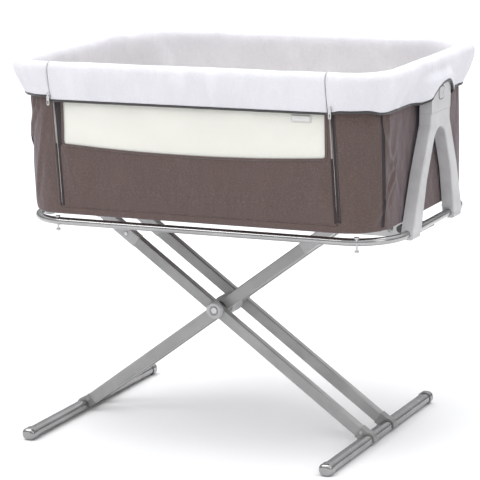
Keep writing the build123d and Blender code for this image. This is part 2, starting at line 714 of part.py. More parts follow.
with BuildPart() as rim_piping:
    for side, x_end in ((-1, GATE_L_TOP - 1), (1, GATE_R_TOP + 1)):
        with BuildLine(Plane.XY.offset(PIPE_Z)) as front_cord:
            FilletPolyline(
                (x_end, -PIPE_Y), (side * PIPE_X, -PIPE_Y), (side * PIPE_X, -68), radius=PIPE_CORNER
            )
        with BuildSketch(Plane(origin=(x_end, -PIPE_Y, PIPE_Z), z_dir=(side, 0, 0))):
            Circle(PIPE_R)
        sweep(path=front_cord.wire())
    with BuildLine(Plane.XY.offset(PIPE_Z)) as rear_cord:
        FilletPolyline(
            (-PIPE_X, 68), (-PIPE_X, PIPE_Y), (PIPE_X, PIPE_Y), (PIPE_X, 68), radius=PIPE_CORNER
        )
    with BuildSketch(Plane(origin=(-PIPE_X, 68, PIPE_Z), z_dir=(0, 1, 0))):
        Circle(PIPE_R)
    sweep(path=rear_cord.wire())
save(rim_piping, "rim_piping")

with BuildPart() as front_rail_piping:
    with BuildSketch(Plane(origin=(GATE_L_TOP + 1.5, -PIPE_Y, PIPE_Z), z_dir=(1, 0, 0))):
        Circle(PIPE_R)
    extrude(amount=GATE_R_TOP - GATE_L_TOP - 3)
save(front_rail_piping, "front_rail_piping")

# Drop side: cloth panel with a mesh window
with BuildPart() as drop_panel:
    with BuildSketch(Plane(origin=(0, -BODY_W / 2, 0), x_dir=(1, 0, 0), z_dir=(0, -1, 0))):
        with BuildLine():
            Polyline(*gate_outline(-0.8, GATE_BOTTOM + 0.6, BODY_TOP), close=True)
        make_face()
        with BuildLine():
            Polyline(
                (WINDOW_L, WINDOW_SIDE_Z),
                (WINDOW_L, BODY_TOP - 30),
                (WINDOW_R, BODY_TOP - 30),
                (WINDOW_R, WINDOW_SIDE_Z),
            )
            ThreePointArc(
                (WINDOW_R, WINDOW_SIDE_Z), (0, WINDOW_MID_Z), (WINDOW_L, WINDOW_SIDE_Z)
            )
        make_face(mode=Mode.SUBTRACT)
    extrude(amount=-CLOTH)
save(drop_panel, "drop_panel")

with BuildPart() as mesh_window:
    with BuildSketch(
        Plane(origin=(0, -BODY_W / 2 + CLOTH + 0.1, 0), x_dir=(1, 0, 0), z_dir=(0, -1, 0))
    ):
        with BuildLine():
            Polyline(
                (WINDOW_L - 8, WINDOW_SIDE_Z - 8),
                (WINDOW_L - 8, BODY_TOP - 22),
                (WINDOW_R + 8, BODY_TOP - 22),
                (WINDOW_R + 8, WINDOW_SIDE_Z - 8),
            )
            ThreePointArc(
                (WINDOW_R + 8, WINDOW_SIDE_Z - 8),
                (0, WINDOW_MID_Z - 8),
                (WINDOW_L - 8, WINDOW_SIDE_Z - 8),
            )
        make_face()
    extrude(amount=-1.0)
save(mesh_window, "mesh_window")

with BuildPart() as label_tag:
    with BuildSketch(
        Plane(origin=(0, -BODY_W / 2 + CLOTH, 0), x_dir=(1, 0, 0), z_dir=(0, -1, 0))
    ):
        with Locations((278, 819)):
            RectangleRounded(48, 15, 1.5)
    extrude(amount=1.0)
save(label_tag, "label_tag")


# Zips: a tape down each side of the drop side, with a slider and a pull
def gate_edge(x_top, z):
    return x_top + GATE_LEAN * (RIM_TUBE_Z - z) / (RIM_TUBE_Z - GATE_BOTTOM)


TAPE_TOP, TAPE_LOW = 832.0, 590.0
with BuildPart() as zip_tapes:
    for x_top, d in ((GATE_L_TOP, -1), (GATE_R_TOP, 1)):
        with BuildSketch(
            Plane(origin=(0, -BODY_W / 2 - 0.1, 0), x_dir=(1, 0, 0), z_dir=(0, -1, 0))
        ):
            with BuildLine():
                Polyline(
                    (gate_edge(x_top, TAPE_TOP) + d * 1, TAPE_TOP),
                    (gate_edge(x_top, TAPE_TOP) + d * 9, TAPE_TOP),
                    (gate_edge(x_top, TAPE_LOW) + d * 9, TAPE_LOW),
                    (gate_edge(x_top, TAPE_LOW) + d * 1, TAPE_LOW),
                    close=True,
                )
            make_face()
        extrude(amount=1.1)
save(zip_tapes, "zip_tapes")

SLIDER_Z, SLIDER_Y = 847.0, -312.4
for name, x_top, d in (("left", GATE_L_TOP, -1), ("right", GATE_R_TOP, 1)):
    slider_x = gate_edge(x_top, SLIDER_Z) + d * 5
    with BuildPart() as zip_slider:
        with BuildSketch(
            Plane(origin=(slider_x, SLIDER_Y, SLIDER_Z), x_dir=(1, 0, 0), z_dir=(0, -1, 0))
        ):
            RectangleRounded(7.2, 13, 2)
        extrude(amount=3.6)
        fillet(zip_slider.edges().group_by(Axis.Y)[0], 0.8)
        with Locations((slider_x, SLIDER_Y - 4, SLIDER_Z)):
            Box(3, 2.4, 6)
    save(zip_slider, f"zip_slider_{name}")

    with BuildPart() as zip_pull:
        with BuildSketch(
            Plane(
                origin=(slider_x, SLIDER_Y - 5.3, SLIDER_Z - 11),
                x_dir=(1, 0, 0),
                z_dir=(0, -1, 0),
            )
        ):
            RectangleRounded(7, 24, 3)
            with Locations((0, -5)):
                SlotOverall(9, 3, rotation=90, mode=Mode.SUBTRACT)
        extrude(amount=1.3)
    save(zip_pull, f"zip_pull_{name}")
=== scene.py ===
import json
import math

import bpy
import numpy as np
from mathutils import Matrix, Vector


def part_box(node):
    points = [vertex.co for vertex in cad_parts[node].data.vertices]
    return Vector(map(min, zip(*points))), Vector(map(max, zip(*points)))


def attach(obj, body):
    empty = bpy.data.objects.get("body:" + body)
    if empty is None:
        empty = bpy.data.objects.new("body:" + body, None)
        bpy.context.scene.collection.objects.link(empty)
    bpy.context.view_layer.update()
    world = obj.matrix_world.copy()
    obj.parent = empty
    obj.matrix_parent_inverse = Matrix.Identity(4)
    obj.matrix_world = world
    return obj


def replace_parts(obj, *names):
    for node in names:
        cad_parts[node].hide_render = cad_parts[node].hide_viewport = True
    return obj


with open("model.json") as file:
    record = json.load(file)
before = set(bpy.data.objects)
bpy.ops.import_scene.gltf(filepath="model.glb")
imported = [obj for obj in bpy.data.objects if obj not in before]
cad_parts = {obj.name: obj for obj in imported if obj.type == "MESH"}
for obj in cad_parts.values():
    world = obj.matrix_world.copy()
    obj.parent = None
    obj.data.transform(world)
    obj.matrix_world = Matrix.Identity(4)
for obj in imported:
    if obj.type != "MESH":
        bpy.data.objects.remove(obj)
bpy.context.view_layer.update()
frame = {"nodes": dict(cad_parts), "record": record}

MM = 0.001
PI = math.pi
RIB_PITCH = 0.0029
CURL_ROWS = 5
# How far the mattress may puff out, and the spacing of its quilting
PUFF, QUILT = 0.01, 0.105

# Basket sizes, in metres, as the CAD has them
BODY_X, BODY_Y, BODY_R = 0.454, 0.3, 0.098
WALL_TOP, WALL_LOW = 0.902, 0.563
GATE_LOW = 0.58
BAND_LOW = 0.838
FRONT_HALF = BODY_X - BODY_R
ARC = BODY_R * PI / 2
END_LEN = 2 * (BODY_Y - BODY_R)
PERIMETER = 4 * ARC + 2 * END_LEN + 4 * FRONT_HALF

# The drop side's opening, the gate: its edges at the rim's tube, which lean to the right on the way down
GATE_LEFT, GATE_RIGHT, GATE_WIDE = -0.357, 0.347, 0.704
RIM_TUBE_Z, GATE_LEAN, GATE_TALL = 0.913, 0.014, 0.333
# Arclengths of its edges halfway down
GATE_START, GATE_END = 0.354, PERIMETER - 0.35


def gate_x(side, z):
    """Where the opening's edge is at height z: side -1 is the left one, 1 the right one."""
    top = GATE_RIGHT if side > 0 else GATE_LEFT
    return top + GATE_LEAN * (RIM_TUBE_Z - z) / GATE_TALL


def smooth(a, b, x):
    t = np.clip((np.asarray(x, float) - a) / (b - a), 0, 1)
    return t * t * (3 - 2 * t)


def column(row):
    """A row of numbers as a column."""
    return np.asarray(row)[:, None]


def arclength(line):
    """Distance along a line of points, from its first."""
    return np.concatenate([[0], np.cumsum(np.linalg.norm(np.diff(line, axis=0), axis=1))])


def sample(line, s, at):
    """The line's points, whose arclengths are s, read at other arclengths."""
    return np.stack([np.interp(at, s, row) for row in line.T], -1)


def corner_arcs(half_x, half_y, radius, steps, x=0, y=0):
    """Points round a rounded rectangle's four corners, from its front right one, about a middle."""
    a, b = half_x - radius, half_y - radius
    for cx, cy, start in ((a, -b, -90), (a, b, 0), (-a, b, 90), (-a, -b, 180)):
        for k in range(steps + 1):
            turn = math.radians(start + 90 * k / steps)
            yield x + cx + radius * math.cos(turn), y + cy + radius * math.sin(turn)


def hill(x, middle, width):
    return np.exp(-(((np.asarray(x, float) - middle) / width) ** 2))


def ripple(a, b, seed):
    """A slow, uneven wave from -1 to 1, the same on every run."""
    k = seed * 1.7
    return (
        np.sin(a + b * 0.37 + k)
        + 0.7 * np.sin(a * 1.73 - b * 0.81 + 2.1 * k)
        + 0.5 * np.sin(a * 2.91 + b * 1.37 + 0.7 * k)
    ) / 2.2


# ---- materials
class Nodes:
    """Small helpers for a node tree."""

    def __init__(self, owner, shader):
        owner.use_nodes = True
        self.tree = owner.node_tree
        self.shader = self.tree.nodes[shader]

    def node(self, kind, values=(), **props):
        made = self.tree.nodes.new("ShaderNode" + kind)
        for key, value in props.items():
            setattr(made, key, value)
        for key, value in dict(values).items():
            self.put(made.inputs[key], value)
        return made

    def put(self, socket, value):
        if isinstance(value, bpy.types.NodeSocket):
            self.tree.links.new(value, socket)
        else:
            socket.default_value = value

    def math(self, operation, a, b=0):
        return self.node("Math", {0: a, 1: b}, operation=operation).outputs[0]

    def remap(self, value, low, high, out_low, out_high):
        values = {0: value, 1: low, 2: high, 3: out_low, 4: out_high}
        return self.node("MapRange", values, interpolation_type="SMOOTHSTEP").outputs[0]

    def set(self, **values):
        for key, value in values.items():
            self.put(self.shader.inputs[key.replace("_", " ")], value)


class Look(Nodes):
    """A Principled material."""

    def __init__(self, name):
        self.mat = bpy.data.materials.new(name)
        super().__init__(self.mat, "Principled BSDF")

    def mix(self, factor, a, b):
        made = self.node("Mix", data_type="RGBA")
        self.put(made.inputs[0], factor)
        for socket, value in ((made.inputs[6], a), (made.inputs[7], b)):
            self.put(socket, (*value, 1) if isinstance(value, tuple) else value)
        return made.outputs[2]

    def place(self, stretch=(1, 1, 1)):
        spot = self.node("TexCoord").outputs["Object"]
        return self.node("Mapping", {"Vector": spot, "Scale": stretch}).outputs[0]

    def noise(self, scale, detail=3, rough=0.5, stretch=(1, 1, 1)):
        values = {"Vector": self.place(stretch), "Scale": scale, "Detail": detail, "Roughness": rough}
        return self.node("TexNoise", values).outputs[0]

    def bump(self, height, strength, distance, normal=None):
        values = {"Height": height, "Strength": strength, "Distance": distance}
        if normal is not None:
            values["Normal"] = normal
        return self.node("Bump", values).outputs[0]

    def cloth_uv(self):
        made = self.node("UVMap", uv_map="cloth")
        return self.node("SeparateXYZ", {0: made.outputs[0]}).outputs[:2]

    def weave(self, pitch):
        """Height of a plain weave: warp over weft and weft over warp, turn about."""
        u, v = self.cloth_uv()
        a = self.math("SINE", self.math("MULTIPLY", u, PI / pitch))
        b = self.math("SINE", self.math("MULTIPLY", v, PI / pitch))
        over = self.math("GREATER_THAN", self.math("MULTIPLY", a, b), 0)
        warp = self.math("MULTIPLY", self.math("ABSOLUTE", a), over)
        under = self.math("SUBTRACT", 1, over)
        weft = self.math("MULTIPLY", self.math("ABSOLUTE", b), under)
        return self.math("ADD", warp, weft)


def tint(colour, by, plus=0):
    return tuple(min(1, c * by + plus) for c in colour)


def cloth_look(name, colour, dark, pitch, sheen, glow, rough=0.8, crease=0.5, melange=0.5, slub=0):
    """Woven cloth: a weave of the given pitch with painted shade in its hollows, mixed and uneven yarns, soft
    creases whose ridges get a painted highlight, and a sheen.
    """
    look = Look(name)
    weave = look.weave(pitch)
    yarn = look.noise(1300, 2, 0.6)
    patch = look.noise(9, 4, 0.55)
    shade = look.mix(look.remap(yarn, 0.32, 0.68, 0, melange), colour, dark)
    # Painted shade: the colour darkens in the weave's hollows, where the threads dip
    shade = look.mix(look.remap(weave, 0, 0.7, 0.55, 0), shade, dark)
    shade = look.mix(look.remap(patch, 0.35, 0.7, 0, 0.35), shade, tint(colour, 1.08, 0.004))
    soft = look.noise(19, 4, 0.5, (1, 1, 0.55))
    # Painted highlight: the colour is lightened on the ridges of the soft creases, where light would catch them
    painted_ridge_highlight = look.remap(soft, 0.5, 0.72, 0, 0.22 * min(crease, 1))
    shade = look.mix(painted_ridge_highlight, shade, tint(colour, 1.22, 0.006))
    if slub:
        uneven = look.noise(290, 2, 0.6)
        shade = look.mix(look.remap(uneven, 0.5, 0.66, 0, slub), shade, tint(colour, 1.6, 0.01))
        shade = look.mix(look.remap(uneven, 0.34, 0.5, slub, 0), shade, dark)
    fold = look.bump(soft, min(crease, 1), 0.007 * max(crease, 0.5))
    fine = look.bump(look.noise(150, 3, 0.5), 0.18, 0.0012, fold)
    look.set(
        Base_Color=shade,
        Roughness=look.remap(patch, 0.3, 0.7, rough - 0.08, rough + 0.08),
        Normal=look.bump(weave, 0.35, 0.0004, fine),
        Sheen_Weight=sheen,
        Sheen_Roughness=0.45,
        Sheen_Tint=(*glow, 1),
        Specular_IOR_Level=0.3,
    )
    return look.mat


def hard_look(name, colour, metallic, rough, grain, depth, wear=0, coat=0, ribs=None):
    """Paint, metal or moulded plastic: fine grain, uneven gloss, rubbed edges, small scuffs and, with ribs,
    painted shade in their grooves.
    """
    look = Look(name)
    patch = look.noise(14, 5, 0.6)
    small = look.noise(grain, 3, 0.6)
    scuff = look.noise(60, 8, 0.75, (1, 1, 0.35))
    rounded = look.node("Bevel", {"Radius": 0.0006}, samples=4).outputs[0]
    true = look.node("NewGeometry").outputs["True Normal"]
    facing = look.node("VectorMath", {0: rounded, 1: true}, operation="DOT_PRODUCT")
    rim = look.remap(facing.outputs["Value"], 0.86, 0.995, 1, 0)
    dark = tint(colour, 0.88)
    shade = look.mix(look.remap(patch, 0.3, 0.7, 0, 1), dark, tint(colour, 1.1, 0.01))
    shade = look.mix(look.remap(small, 0.35, 0.65, 0, 0.3), shade, dark)
    rub = look.math("MULTIPLY", rim, look.remap(scuff, 0.4, 0.6, 0.15, 1))
    shade = look.mix(look.math("MULTIPLY", rub, wear), shade, tint(colour, 1.35, 0.05))
    gloss = look.math(
        "ADD",
        look.remap(patch, 0.3, 0.7, rough - 0.05, rough + 0.05),
        look.remap(scuff, 0.56, 0.72, 0, 0.12),
    )
    base = look.bump(patch, 0.1, 0.0008, rounded)
    if ribs:
        across = look.node("VectorMath", {0: look.place(), 1: ribs}, operation="DOT_PRODUCT").outputs["Value"]
        wave = look.math("SINE", look.math("MULTIPLY", across, 2 * PI / RIB_PITCH))
        # Painted shade: the colour darkens in the ribs' grooves
        shade = look.mix(look.remap(wave, -0.9, 0.1, 0.45, 0), shade, tint(colour, 0.45))
        base = look.bump(wave, 0.6, 0.0005, base)
    normal = look.bump(small, 0.5, depth, base)
    look.set(Base_Color=shade, Metallic=metallic, Roughness=gloss, Normal=normal)
    look.set(Coat_Weight=coat, Coat_Roughness=0.25)
    return look.mat


def mesh_look(name, colour, hole, pitch):
    """Knitted spacer mesh: rows of small staggered holes between soft ribs, with painted shade in the holes."""
    look = Look(name)
    u, v = look.cloth_uv()
    a = look.math("MULTIPLY", u, 2 * PI / pitch)
    b = look.math("MULTIPLY", v, 2 * PI / (pitch * 1.6))
    plus = look.math("COSINE", look.math("ADD", a, b))
    minus = look.math("COSINE", look.math("SUBTRACT", a, b))
    cell = look.math("MULTIPLY", look.math("ADD", plus, minus), 0.5)
    hole_shade_mask = look.remap(cell, 0.35, 0.75, 0, 1)
    patch = look.noise(7, 3, 0.5)
    yarn = look.noise(1500, 2, 0.6)
    shade = look.mix(look.remap(patch, 0.35, 0.65, 0, 1), colour, tint(colour, 1.05))
    shade = look.mix(look.remap(yarn, 0.3, 0.7, 0, 0.25), shade, hole)
    # Painted shade: the holes are coloured dark rather than left open, for the shade seen through them
    shade = look.mix(look.math("MULTIPLY", hole_shade_mask, 0.55), shade, hole)
    fold = look.bump(look.noise(18, 4, 0.5), 0.25, 0.003)
    look.set(
        Base_Color=shade,
        Roughness=look.remap(patch, 0.3, 0.7, 0.72, 0.86),
        Normal=look.bump(cell, -0.5, 0.0006, fold),
        Sheen_Weight=0.2,
        Sheen_Roughness=0.5,
    )
    return look.mat


def cord_look(name, colour, dark):
    """A covered cord: cloth wound round it, so that its threads run aslant, with painted shade between the turns.
    """
    look = Look(name)
    u, v = look.cloth_uv()
    slant = look.math("ADD", look.math("MULTIPLY", u, 5200), look.math("MULTIPLY", v, 3000))
    thread = look.math("SINE", slant)
    patch = look.noise(40, 4, 0.6)
    # Painted shade: the colour darkens in the grooves between the turns of thread
    shade = look.mix(look.remap(thread, -0.6, 0.8, 0, 1), dark, colour)
    look.set(
        Base_Color=look.mix(look.remap(patch, 0.4, 0.7, 0, 0.3), shade, colour),
        Roughness=look.remap(patch, 0.3, 0.7, 0.6, 0.8),
        Normal=look.bump(thread, 0.4, 0.0003),
        Sheen_Weight=0.3,
    )
    return look.mat


def board_look(name):
    """Hardboard: pressed fibres in a warm brown."""
    look = Look(name)
    fibre = look.noise(220, 6, 0.7, (1, 3, 1))
    patch = look.noise(8, 3, 0.5)
    shade = look.mix(look.remap(fibre, 0.3, 0.7, 0, 1), (0.36, 0.24, 0.13), (0.55, 0.4, 0.25))
    look.set(
        Base_Color=look.mix(look.remap(patch, 0.3, 0.7, 0, 0.3), shade, (0.42, 0.3, 0.18)),
        Roughness=look.remap(fibre, 0.3, 0.7, 0.6, 0.8),
        Normal=look.bump(fibre, 0.4, 0.0003),
    )
    return look.mat


VIOLET, WHITE = (0.86, 0.82, 1), (1, 1, 1)
LOOKS = {
    "silver_tube": hard_look("silver_paint", (0.37, 0.365, 0.365), 0.97, 0.2, 1400, 0.00005, 0.4, 0.1),
    "grey_leg": hard_look("grey_paint", (0.3, 0.3, 0.295), 0.45, 0.38, 1100, 0.00006, 0.5),
    "steel": hard_look("zinc_steel", (0.52, 0.52, 0.53), 0.95, 0.3, 1500, 0.00004, 0.5),
    "light_plastic": hard_look("pale_plastic", (0.49, 0.485, 0.49), 0, 0.46, 1000, 0.0001, 0.25),
    "dark_plastic": hard_look("dark_plastic", (0.06, 0.06, 0.065), 0, 0.5, 900, 0.0001, 0.3),
    "brown_fabric": cloth_look(
        "brown_cloth", (0.108, 0.073, 0.063), (0.068, 0.048, 0.045), 0.0011, 0.28, VIOLET, 0.7, 1.5, slub=0.3
    ),
    "cream_fabric": cloth_look("cream_cloth", (0.8, 0.77, 0.71), (0.62, 0.58, 0.52), 0.0009, 0.2, (1, 0.97, 0.9)),
    "white_fabric": cloth_look(
        "white_cloth", (0.715, 0.705, 0.74), (0.58, 0.575, 0.62), 0.0009, 0.15, (0.95, 0.95, 1), 0.8, 1, slub=0.06
    ),
    "dark_piping": cord_look("dark_cord", (0.05, 0.046, 0.048), (0.018, 0.016, 0.018)),
    "mesh": mesh_look("cream_mesh", (0.78, 0.78, 0.72), (0.34, 0.32, 0.28), 0.0026),
    "tag": cloth_look("tag_satin", (0.74, 0.74, 0.72), (0.5, 0.5, 0.5), 0.0006, 0.1, WHITE, 0.5, 0.2, 0.3),
    "board": board_look("hardboard"),
    "zip_tape": cloth_look("tape_cloth", (0.3, 0.28, 0.28), (0.16, 0.14, 0.14), 0.0009, 0.2, WHITE, 0.7, 0.1),
    "zip_metal": hard_look("zip_nickel", (0.62, 0.62, 0.63), 0.9, 0.26, 1500, 0.00004, 0.3),
}
DARK_CLOTH = cloth_look(
    "dark_binding", (0.036, 0.028, 0.03), (0.02, 0.015, 0.016), 0.0009, 0.1, VIOLET, 0.74, 0.3
)
STITCH = cord_look("stitch_thread", (0.22, 0.19, 0.185), (0.11, 0.09, 0.09))
WHITE_STITCH = cord_look("white_thread", (0.82, 0.82, 0.86), (0.6, 0.6, 0.66))
TOOTH = hard_look("zip_tooth", (0.58, 0.57, 0.57), 0, 0.4, 1500, 0.00004, 0.2)

# The legs' tubes have fine ribs along their length, which slopes at this angle, with painted shade in their
# grooves
LEG_SLOPE = math.radians(36)
LEG_LOOKS = {}
for leg, way in (("outer_leg", 1), ("inner_leg", -1)):
    across_leg = (way * math.sin(LEG_SLOPE), 0, math.cos(LEG_SLOPE))
    paint = (0.43, 0.43, 0.425)
    leg_look = hard_look(f"{leg}_paint", paint, 0.45, 0.36, 1100, 0.00006, 0.5, ribs=across_leg)
    LEG_LOOKS[f"{leg}_front"] = LEG_LOOKS[f"{leg}_rear"] = leg_look

node_slot = {p["node"]: p["material_slot"] for p in frame["record"]["subparts"]}
for name, node in frame["nodes"].items():
    node.data.materials.clear()
    node.data.materials.append(LEG_LOOKS.get(name) or LOOKS[node_slot[name]])


# ---- mesh helpers
def add(name, data):
    """A new object, linked to the scene."""
    made = bpy.data.objects.new(name, data)
    bpy.context.scene.collection.objects.link(made)
    return made


def make(name, points, faces, uvs, body, slot, look=None, thick=0, soft=True):
    """A mesh piece from points, faces and one cloth coordinate for each point."""
    data = bpy.data.meshes.new(name)
    data.from_pydata([tuple(p) for p in points], [], [tuple(f) for f in faces])
    layer = data.uv_layers.new(name="cloth")
    index = np.empty(len(data.loops), int)
    data.loops.foreach_get("vertex_index", index)
    layer.data.foreach_set("uv", np.asarray(uvs, np.float32)[index].ravel())
    if soft:
        data.polygons.foreach_set("use_smooth", [True] * len(data.polygons))
    data.validate()
    data.materials.append(look or LOOKS[slot])
    piece = add(name, data)
    if thick:
        shell = piece.modifiers.new("thick", "SOLIDIFY")
        shell.thickness = thick
        shell.offset = -1
        shell.use_even_offset = False
    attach(piece, body)
    return piece


def grid_faces(rows, columns, closed=False, keep=None):
    """Faces between rows of points: all round if closed, and only those that keep marks."""
    faces = []
    for i in range(rows - 1):
        for j in range(columns if closed else columns - 1):
            k = (j + 1) % columns
            if keep is None or keep[i, j]:
                faces.append((i * columns + j, i * columns + k, (i + 1) * columns + k, (i + 1) * columns + j))
    return faces


def grid(name, points, uvs, body, slot, closed=False, **more):
    faces = grid_faces(*points.shape[:2], closed)
    return make(name, points.reshape(-1, 3), faces, uvs.reshape(-1, 2), body, slot, **more)


def turned_grid(name, points, uvs, closed, keep, body, slot, **more):
    """A grid with its faces turned over, and without the points that no face uses."""
    faces = [face[::-1] for face in grid_faces(*points.shape[:2], closed, keep)]
    used = sorted({i for face in faces for i in face})
    new = {old: k for k, old in enumerate(used)}
    faces = [tuple(new[i] for i in face) for face in faces]
    return make(name, points.reshape(-1, 3)[used], faces, uvs.reshape(-1, 2)[used], body, slot, **more)


def tube(name, line, radius, body, slot, sides=10, look=None, tall=1):
    """A cord along a line of points, tall times as high as it is wide, with its ends drawn in and closed."""
    line = np.asarray(line, float)
    along = np.gradient(line, axis=0)
    along /= column(np.linalg.norm(along, axis=1))
    side = np.cross(along, (0, 0, 1))
    weak = np.linalg.norm(side, axis=1) < 0.2
    side[weak] = np.cross(along[weak], (0, 1, 0))
    side /= column(np.linalg.norm(side, axis=1))
    top = np.cross(side, along)
    scale = np.ones(len(line))
    scale[[0, -1]] = 0.55
    turn = np.linspace(0, 2 * PI, sides, endpoint=False)
    ring = side[:, None] * column(np.cos(turn)) + top[:, None] * tall * column(np.sin(turn))
    points = (line[:, None] + ring * (radius * scale)[:, None, None]).reshape(-1, 3)
    uvs = np.stack(np.broadcast_arrays(column(arclength(line)), turn[None] * radius), -1).reshape(-1, 2)
    faces = grid_faces(len(line), sides, closed=True)
    faces.append(tuple(range(sides)))
    faces.append(tuple((len(line) - 1) * sides + k for k in reversed(range(sides))))
    return make(name, points, faces, uvs, body, slot, look)


def stitches(name, lines, body, slot, look, long=0.0032, gap=0.0016, radius=0.00035):
    """Running stitches: short dashes of thread along each line, lifted along its normals."""
    dash = [*grid_faces(4, 4, closed=True), (3, 2, 1, 0), (12, 13, 14, 15)]
    points, faces, uvs = [], [], []
    for line, lift in lines:
        s = arclength(line)
        for start in np.arange(gap, s[-1] - long, long + gap):
            knots = start + long * np.array([0, 0.3, 0.7, 1])
            middle, out = sample(line, s, knots), sample(lift, s, knots)
            out /= column(np.linalg.norm(out, axis=1))
            way = middle[-1] - middle[0]
            way /= np.linalg.norm(way)
            across = np.cross(out, way)
            height = np.array([-0.4, 0.9, 0.9, -0.4]) * radius
            base = len(points)
            for k in range(4):
                centre = middle[k] + out[k] * height[k]
                for a, b in ((1, 0), (0, 1), (-1, 0), (0, -1)):
                    points.append(centre + across[k] * a * radius * 1.3 + out[k] * b * radius)
                    uvs.append((knots[k], a * radius + b * 2 * radius))
            faces += [tuple(base + i for i in face) for face in dash]
    return make(name, points, faces, uvs, body, slot, look)


# ---- basket wall
MARKS = np.cumsum([0, FRONT_HALF, ARC, END_LEN, ARC, 2 * FRONT_HALF, ARC, END_LEN, ARC, FRONT_HALF])


def outline(k, t, half_x, half_y, radius, start=0, end=0):
    """Point and outward normal at share t of piece k of a rounded outline, whose even pieces are straight: from
    the front's right part, which begins at X start, round to its left part, which ends at X end."""
    a, b = half_x - radius, half_y - radius
    if k % 2:
        x, y, first = ((a, -b, -90), (a, b, 0), (-a, b, 90), (-a, -b, 180))[k // 2]
        turn = math.radians(first) + PI / 2 * t
        out = np.stack([np.cos(turn), np.sin(turn)], -1)
        return (x, y) + radius * out, out
    (x, y), (to_x, to_y), out = (
        ((start, -half_y), (a, -half_y), (0, -1)),
        ((half_x, -b), (half_x, b), (1, 0)),
        ((a, half_y), (-a, half_y), (0, 1)),
        ((-half_x, b), (-half_x, -b), (-1, 0)),
        ((-a, -half_y), (end, -half_y), (0, -1)),
    )[k // 2]
    return np.stack([x + (to_x - x) * t, y + (to_y - y) * t], -1), out


def wall_ring(s):
    """Point and outward normal of the wall's outline at arclength s from the middle of its front."""
    s = np.mod(np.asarray(s, float), PERIMETER)
    place, out = np.empty((2, *s.shape, 2))
    for k in range(9):
        m = (s >= MARKS[k]) & (s <= MARKS[k + 1])
        share = (s[m] - MARKS[k]) / (MARKS[k + 1] - MARKS[k])
        place[m], out[m] = outline(k, share, BODY_X, BODY_Y, BODY_R)
    return place, out


# Arclengths of the four corner seams
SEAMS = [FRONT_HALF + 0.733 * ARC]
SEAMS.append(PERIMETER / 2 - SEAMS[0])
SEAMS += [PERIMETER - s for s in SEAMS[::-1]]
# The wall's long folds: arclength at the band, slope, half width and height in mm
WALL_FOLDS = (
    (0.395, 0.16, 0.011, 1.7), (0.452, 0.1, 0.012, 1.8), (0.5, -0.22, 0.016, 2.6),
    (0.63, -0.73, 0.009, 3.2), (0.585, -0.62, 0.008, 2.2), (0.44, 0.5, 0.01, 2.2),
    (0.905, -0.3, 0.016, 1.8), (0.99, 0.22, 0.014, 1.7), (1.18, 0.3, 0.022, 1.5),
    (1.424, -0.2, 0.03, 1.4), (1.69, -0.25, 0.022, 1.6), (1.86, 0.2, 0.015, 2),
    (1.96, 0.35, 0.017, 1.8), (PERIMETER - 0.47, -0.35, 0.014, 2.2), (PERIMETER - 0.425, -0.45, 0.01, 2.6),
    (PERIMETER - 0.395, -0.75, 0.008, 3), (PERIMETER - 0.372, -0.25, 0.008, 2.4),
)


def wall_swell(s, z):
    """How far the wall stands out of its plain outline, in metres: slack cloth, gathers and folds."""
    place, _ = wall_ring(s)
    x, y = place[..., 0], place[..., 1]
    s = np.mod(s, PERIMETER)
    high = np.clip((z - WALL_LOW) / (BAND_LOW - WALL_LOW), 0, 1.3)
    from_gate = np.minimum(np.abs(s - GATE_START), np.abs(s - GATE_END))
    free = smooth(0.014, 0.07, from_gate)
    front = (np.abs(y + BODY_Y) < 0.001) & (np.abs(x) < 0.345)
    free = np.where(front, 0, free)
    upright = (1 - smooth(0.16, 0.2, np.abs(y))) * smooth(0.44, 0.452, np.abs(x))
    slack = 3.4 * np.sin(PI * np.clip(high, 0, 1)) ** 0.8
    slack += 1.3 * ripple(s * 17, high * 2.5, 1) * smooth(0, 0.25, high)
    # Gathers under the band, tightest at the ends and round the corners
    corner = smooth(0.3, 0.42, np.abs(x))
    drop = np.clip(BAND_LOW + 0.004 - z, 0, 1)
    reach = 0.034 + 0.022 * (0.5 + 0.5 * ripple(s * 41, 0 * s, 3))
    pleat = np.sin(s * 2 * PI / 0.0215 + 2.2 * np.sin(s * 2 * PI / 0.117) + 1.1 * np.sin(s * 37))
    gather = 2.3 * pleat * np.exp(-((drop / reach) ** 1.4)) * (0.25 + 0.75 * corner)
    # Long soft folds falling away from the corners
    fold = np.zeros_like(s * z)
    for at, slope, width, deep in WALL_FOLDS:
        line = at + slope * (BAND_LOW - z)
        fades = 1 - smooth(0.9, 1.06, high)
        fold += 1.4 * deep * hill(s, line, width) * smooth(0, 0.2, high) * fades
        fold -= 0.6 * deep * hill(s, line + 1.9 * width, width) * smooth(0.05, 0.3, high) * fades
    seam = np.zeros_like(s * z)
    for at in SEAMS:
        seam -= 1.2 * hill(s, at, 0.0022)
        seam += 0.7 * hill(s, at - 0.0062, 0.0028) + 0.7 * hill(s, at + 0.0062, 0.0028)
    out = (slack + gather + fold) * free + seam * smooth(0, 0.03, high)
    out = np.where(out > 0, out * (1 - 0.92 * upright), out * (1 - 0.5 * upright))
    inside_hem = smooth(0.78, 0.797, z)
    out = np.where(out < 0, out * (1 - 0.4 * inside_hem), out)
    out *= smooth(WALL_LOW, WALL_LOW + 0.02, z) * (1 - smooth(BAND_LOW + 0.01, 0.875, z) * 0.8)
    return np.clip(out, -2.6, 7) * MM


def wall_points(s, z, inset):
    """Points on the wall's cloth, set in from it."""
    place, out = wall_ring(s)
    reach = wall_swell(s, z) - inset
    return np.stack([place[..., 0] + out[..., 0] * reach, place[..., 1] + out[..., 1] * reach, z], -1)


